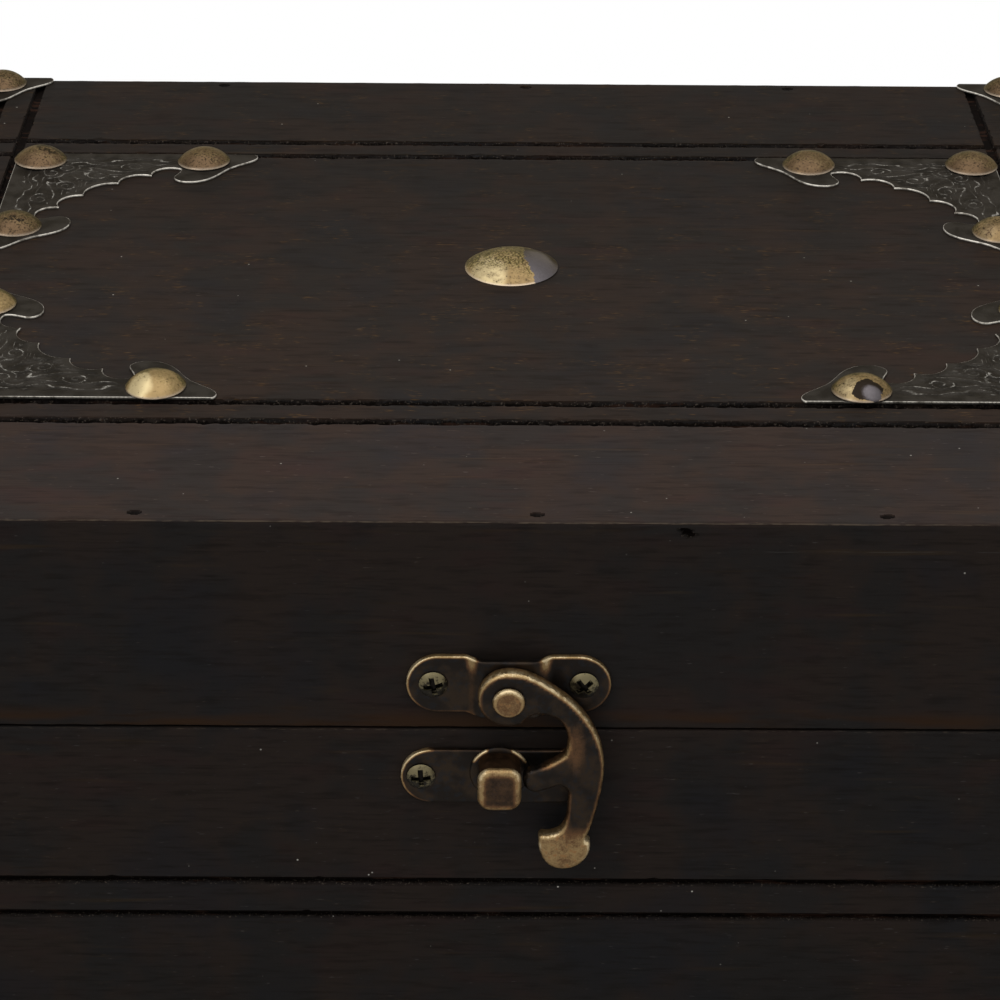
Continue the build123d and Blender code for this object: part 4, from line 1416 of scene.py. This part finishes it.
hook_pivot_height = 70.0
rivet_head = 4.5
rivet_profile = (
    (0.0, 0.85), (0.9, 0.84), (1.55, 0.80), (1.85, 0.73), (2.05, 0.60), (2.15, 0.42), (2.2, 0.2), (2.2, 0.0),
    (1.25, 0.0), (1.25, -3.0), (1.9, -3.0), (1.9, -3.45), (1.5, -3.5), (0.0, -3.5),
)
rivet_steps = 48
rivet_front = 0.05
rivet_face, rivet_face_wear = (2.05, 1.85), 0.48
rivet_rim, rivet_rim_wear = (1.7, 2.0), 1.20

shape = turned(rivet_profile, rivet_steps)
rub, bare_and_sheen = [shape.verts.layers.float.new(name) for name in ("rub", "bare_and_sheen")]
for vert in shape.verts:
    reach = math.hypot(vert.co.x, vert.co.y)
    if vert.co.z > rivet_front:
        vert[rub] = rivet_rim_wear * rise(reach, *rivet_rim)
        vert[bare_and_sheen] = rivet_face_wear * rise(reach, *rivet_face)
shape.transform(front_matrix(0, hook_pivot_height, rivet_head))
piece("hook_rivet_headed", shape, "lid", latch_bronze, "latch_bronze", ["hook_rivet"], latch_smoothing)


# Keeper loop
# A cast loop on a round flange, riveted through the keeper plate; the hook's prong swings into it.

loop_place = (-1.15, 56.55)
loop_width = 6.0
loop_height = 6.6
loop_foot = 1.3
loop_front = 5.9
loop_wall = 1.0
loop_corner = 1.9
loop_edge = 0.9
loop_steps = 40
loop_rings = 5
loop_rim = 0.9
loop_rim_rings = 3
flange_profile = (
    (0.0, 1.3), (3.55, 1.3), (3.8, 1.27), (3.98, 1.18), (4.08, 1.04), (4.1, 0.9), (4.1, 0.8),
    (1.4, 0.8), (1.4, 0.0), (0.0, 0.0),
)
flange_steps = 64
flange_highlight = 1.45
flange_rim = (3.7, 3.95)
flange_highlight_arc = ((20, 30), (68, 58))
loop_side_wear = 0.25
loop_front_share = 1.1
edge_wear = 0.62
corner_highlight = 0.52
corner_range = ((1.0, 2.4), (0.8, 2.4))
top_loss = 0.45
top_range = ((0.9, 0.4), (0.0, 1.0))
middle_loss = 0.68
middle_range = (loop_edge / 2, loop_edge / 2 + loop_rim)

whole = bmesh.new()
shape = bmesh.new()
for name in ("rub", "bare_and_sheen"):
    whole.verts.layers.float.new(name)
    shape.verts.layers.float.new(name)
rub, bare_and_sheen = [shape.verts.layers.float[name] for name in ("rub", "bare_and_sheen")]
half_step = Matrix.Rotation(math.pi / loop_steps, 4, "Z")
bmesh.ops.create_circle(shape, cap_ends=True, segments=loop_steps, radius=loop_corner, matrix=half_step)
for vert in shape.verts:
    vert.co.x += math.copysign(loop_width / 2 - loop_corner, vert.co.x)
    vert.co.y += math.copysign(loop_height / 2 - loop_corner, vert.co.y)
    vert.co.z = loop_foot
middle, corners = raised_faces(shape)
for vert in corners:
    vert.co.z = loop_front - loop_edge
angles = [math.radians(90 * step / loop_rings) for step in range(loop_rings + 1)]
for start, end in zip(angles, angles[1:]):
    inset = loop_edge * (math.cos(start) - math.cos(end))
    lift = loop_edge * (math.sin(end) - math.sin(start))
    bmesh.ops.inset_region(shape, faces=middle, thickness=inset, depth=lift, use_even_offset=True)
for _ in range(loop_rim_rings):
    bmesh.ops.inset_region(shape, faces=middle, thickness=loop_rim / loop_rim_rings, use_even_offset=True)
for place in (loop_wall - loop_height / 2, loop_height / 2 - loop_wall):
    cut_through(shape, (0, place, 0), (0, 1, 0))
window = (loop_foot + loop_wall, loop_front - loop_wall)
for place in window:
    cut_through(shape, (0, 0, place), (0, 0, 1))
opening = []
for face in shape.faces:
    spot = face.calc_center_median()
    beside = abs(spot.x) > loop_width / 2 - loop_corner and abs(spot.y) < loop_height / 2 - loop_wall
    if beside and window[0] < spot.z < window[1]:
        opening.append(face)
bmesh.ops.delete(shape, geom=opening, context="FACES")
bmesh.ops.bridge_loops(shape, edges=[edge for edge in shape.edges if edge.is_boundary])
for vert in shape.verts:
    inward = min(loop_width / 2 - abs(vert.co.x), loop_height / 2 - abs(vert.co.y))
    if vert.co.z > loop_front - loop_edge * loop_front_share:
        beside, above = abs(vert.co.x), vert.co.y
        top_corner = rise(beside, *corner_range[0]) * rise(above, *corner_range[1])
        top_middle = rise(beside, *top_range[0]) * rise(above, *top_range[1])
        # Worn edges, with painted highlights on the rim's top corners.
        vert[bare_and_sheen] = edge_wear + corner_highlight * top_corner
        vert[bare_and_sheen] *= 1 - top_loss * top_middle
        vert[bare_and_sheen] *= 1 - middle_loss * rise(inward, *middle_range)
    else:
        vert[rub] = loop_side_wear
bmesh.ops.recalc_face_normals(shape, faces=shape.faces)
gather(whole, shape)
shape = turned(flange_profile, flange_steps)
rub = shape.verts.layers.float.new("rub")
for vert in shape.verts:
    # Painted highlights on two arcs of the flange's rim, upper left and upper right; its top, under the loop,
    # is left dark as painted shade.
    from_top = math.degrees(math.atan2(abs(vert.co.x), vert.co.y))
    arc = rise(from_top, *flange_highlight_arc[0]) * rise(from_top, *flange_highlight_arc[1])
    vert[rub] = flange_highlight * arc * rise(math.hypot(vert.co.x, vert.co.y), *flange_rim)
gather(whole, shape)
whole.transform(front_matrix(*loop_place, 0))
piece("keeper_loop_cast", whole, "base", latch_bronze, "latch_bronze", ["keeper_loop"], latch_smoothing)


# Small screws
# Cross-head brass screws with domed heads, dulled and dark, in the latch and the hinges.

screw_head_radius = 1.95
screw_head_height = 0.75
screw_shank_radius = 0.95
screw_shank_length = 5.0
screw_tip_length = 1.4
recess_half = 0.36
recess_reach = 1.35
recess_depth = 0.6
recess_taper = 0.8
screw_steps = 48
screw_rings = 10
screw_lip_turn = 0.08
screw_lip = 0.05
screw_tip_share = 1 / 3


def cross_screw(turn):
    """Screw with its head upwards at the origin and its cross turned by an angle."""
    ball = (screw_head_radius**2 + screw_head_height**2) / (2 * screw_head_height)
    widest = math.asin(screw_head_radius / ball)
    angles = [widest * step / screw_rings for step in range(screw_rings + 1)]
    profile = [(ball * math.sin(angle), screw_head_height - ball * (1 - math.cos(angle))) for angle in angles]
    profile += [(screw_head_radius - screw_lip_turn, -screw_lip), (screw_shank_radius, -screw_lip)]
    tip = -screw_shank_length - screw_tip_length
    profile += [(screw_shank_radius, -screw_shank_length)]
    profile += [(screw_shank_radius * screw_tip_share, tip), (0.0, tip)]
    shape = turned(profile, screw_steps)
    recess = shape.verts.layers.float.new("recess")
    for direction in ((1, 0, 0), (0, 1, 0)):
        for distance in (-recess_reach, -recess_half, recess_half, recess_reach):
            cut_through(shape, Vector(direction) * distance, direction)
    cross = []
    for face in shape.faces:
        middle = face.calc_center_median()
        low, high = sorted((abs(middle.x), abs(middle.y)))
        if middle.z > screw_lip and low < recess_half and high < recess_reach:
            cross.append(face)
    made = bmesh.ops.extrude_face_region(shape, geom=cross)["geom"]
    bmesh.ops.delete(shape, geom=cross, context="FACES")
    for part in made:
        if isinstance(part, bmesh.types.BMVert):
            part.co.z -= recess_depth
            part.co.x *= recess_taper
            part.co.y *= recess_taper
            part[recess] = 1.0
    bmesh.ops.recalc_face_normals(shape, faces=shape.faces)
    shape.transform(Matrix.Rotation(turn, 4, "Z"))
    return shape


screw_dull = (0.0180, 0.0150, 0.0105)
screw_khaki = (0.1350, 0.1130, 0.0620)
screw_shadow = (0.0060, 0.0050, 0.0040)
screw_upward = (-0.5, 0.6)
screw_noises = {"mottle": ("plain", 0.9, 3.0), "flecks": ("plain", 0.22, 2.0)}
# Khaki brass shows on mottled wear and, as a painted highlight, more on the part of a head that faces up.
screw_sums = {
    "rubbed_and_lit": (0.0, {"mottle": 1.4, "flecks": 0.6, "upward": 0.5}),
    "roughness": (0.30, {"mottle": 0.25}),
}
screw_layers = (
    (screw_khaki, 1.0, (("rubbed_and_lit", 1.10, 1.42),)),
    (screw_shadow, 1.0, (("recess", 0.1, 0.6),)),
)

screw_brass, nodes, shader = new_finish("screw_brass", {"Metallic": 0.9, "Specular IOR Level": 0.25})
fields = fields_of(nodes, {"plain": millimetres(nodes)}, screw_noises, ("recess",))
fields["upward"] = facing_up(nodes, *screw_upward)
weigh(fields, screw_sums)
surface(nodes, shader, layered(fields, screw_dull, screw_layers), fields["roughness"])

# The latch's screws: their node and body, the middle and height of their plate, and their distance from it
latch_screws = (
    ("hook_plate_screws", "lid", 0.0, hook_plate_height, screw_spans["hook"]),
    ("keeper_plate_screws", "base", *keeper_plate_place, screw_spans["keeper"]),
)
screw_turns = [math.radians(angle) for angle in (12, 40, 4, 60)]
for node, body, middle, height, span in latch_screws:
    whole = bmesh.new()
    for x in (middle - span, middle + span):
        shape = cross_screw(screw_turns.pop(0))
        shape.transform(front_matrix(x, height, latch_plate_thickness))
        gather(whole, shape)
    piece(node + "_driven", whole, body, screw_brass, "screw_brass", [node], latch_smoothing)


# Hinges
# Two small butt hinges on the back: stamped leaves with rolled knuckles, on steel pins.

hinge_bronze = bronze("hinge_bronze", 0.0)
for name in ("left", "right"):
    refinish(hinge_bronze, f"hinge_base_leaf_{name}", f"hinge_lid_leaf_{name}", f"hinge_pin_{name}")
refinish(screw_brass, "hinge_base_screws", "hinge_lid_screws")
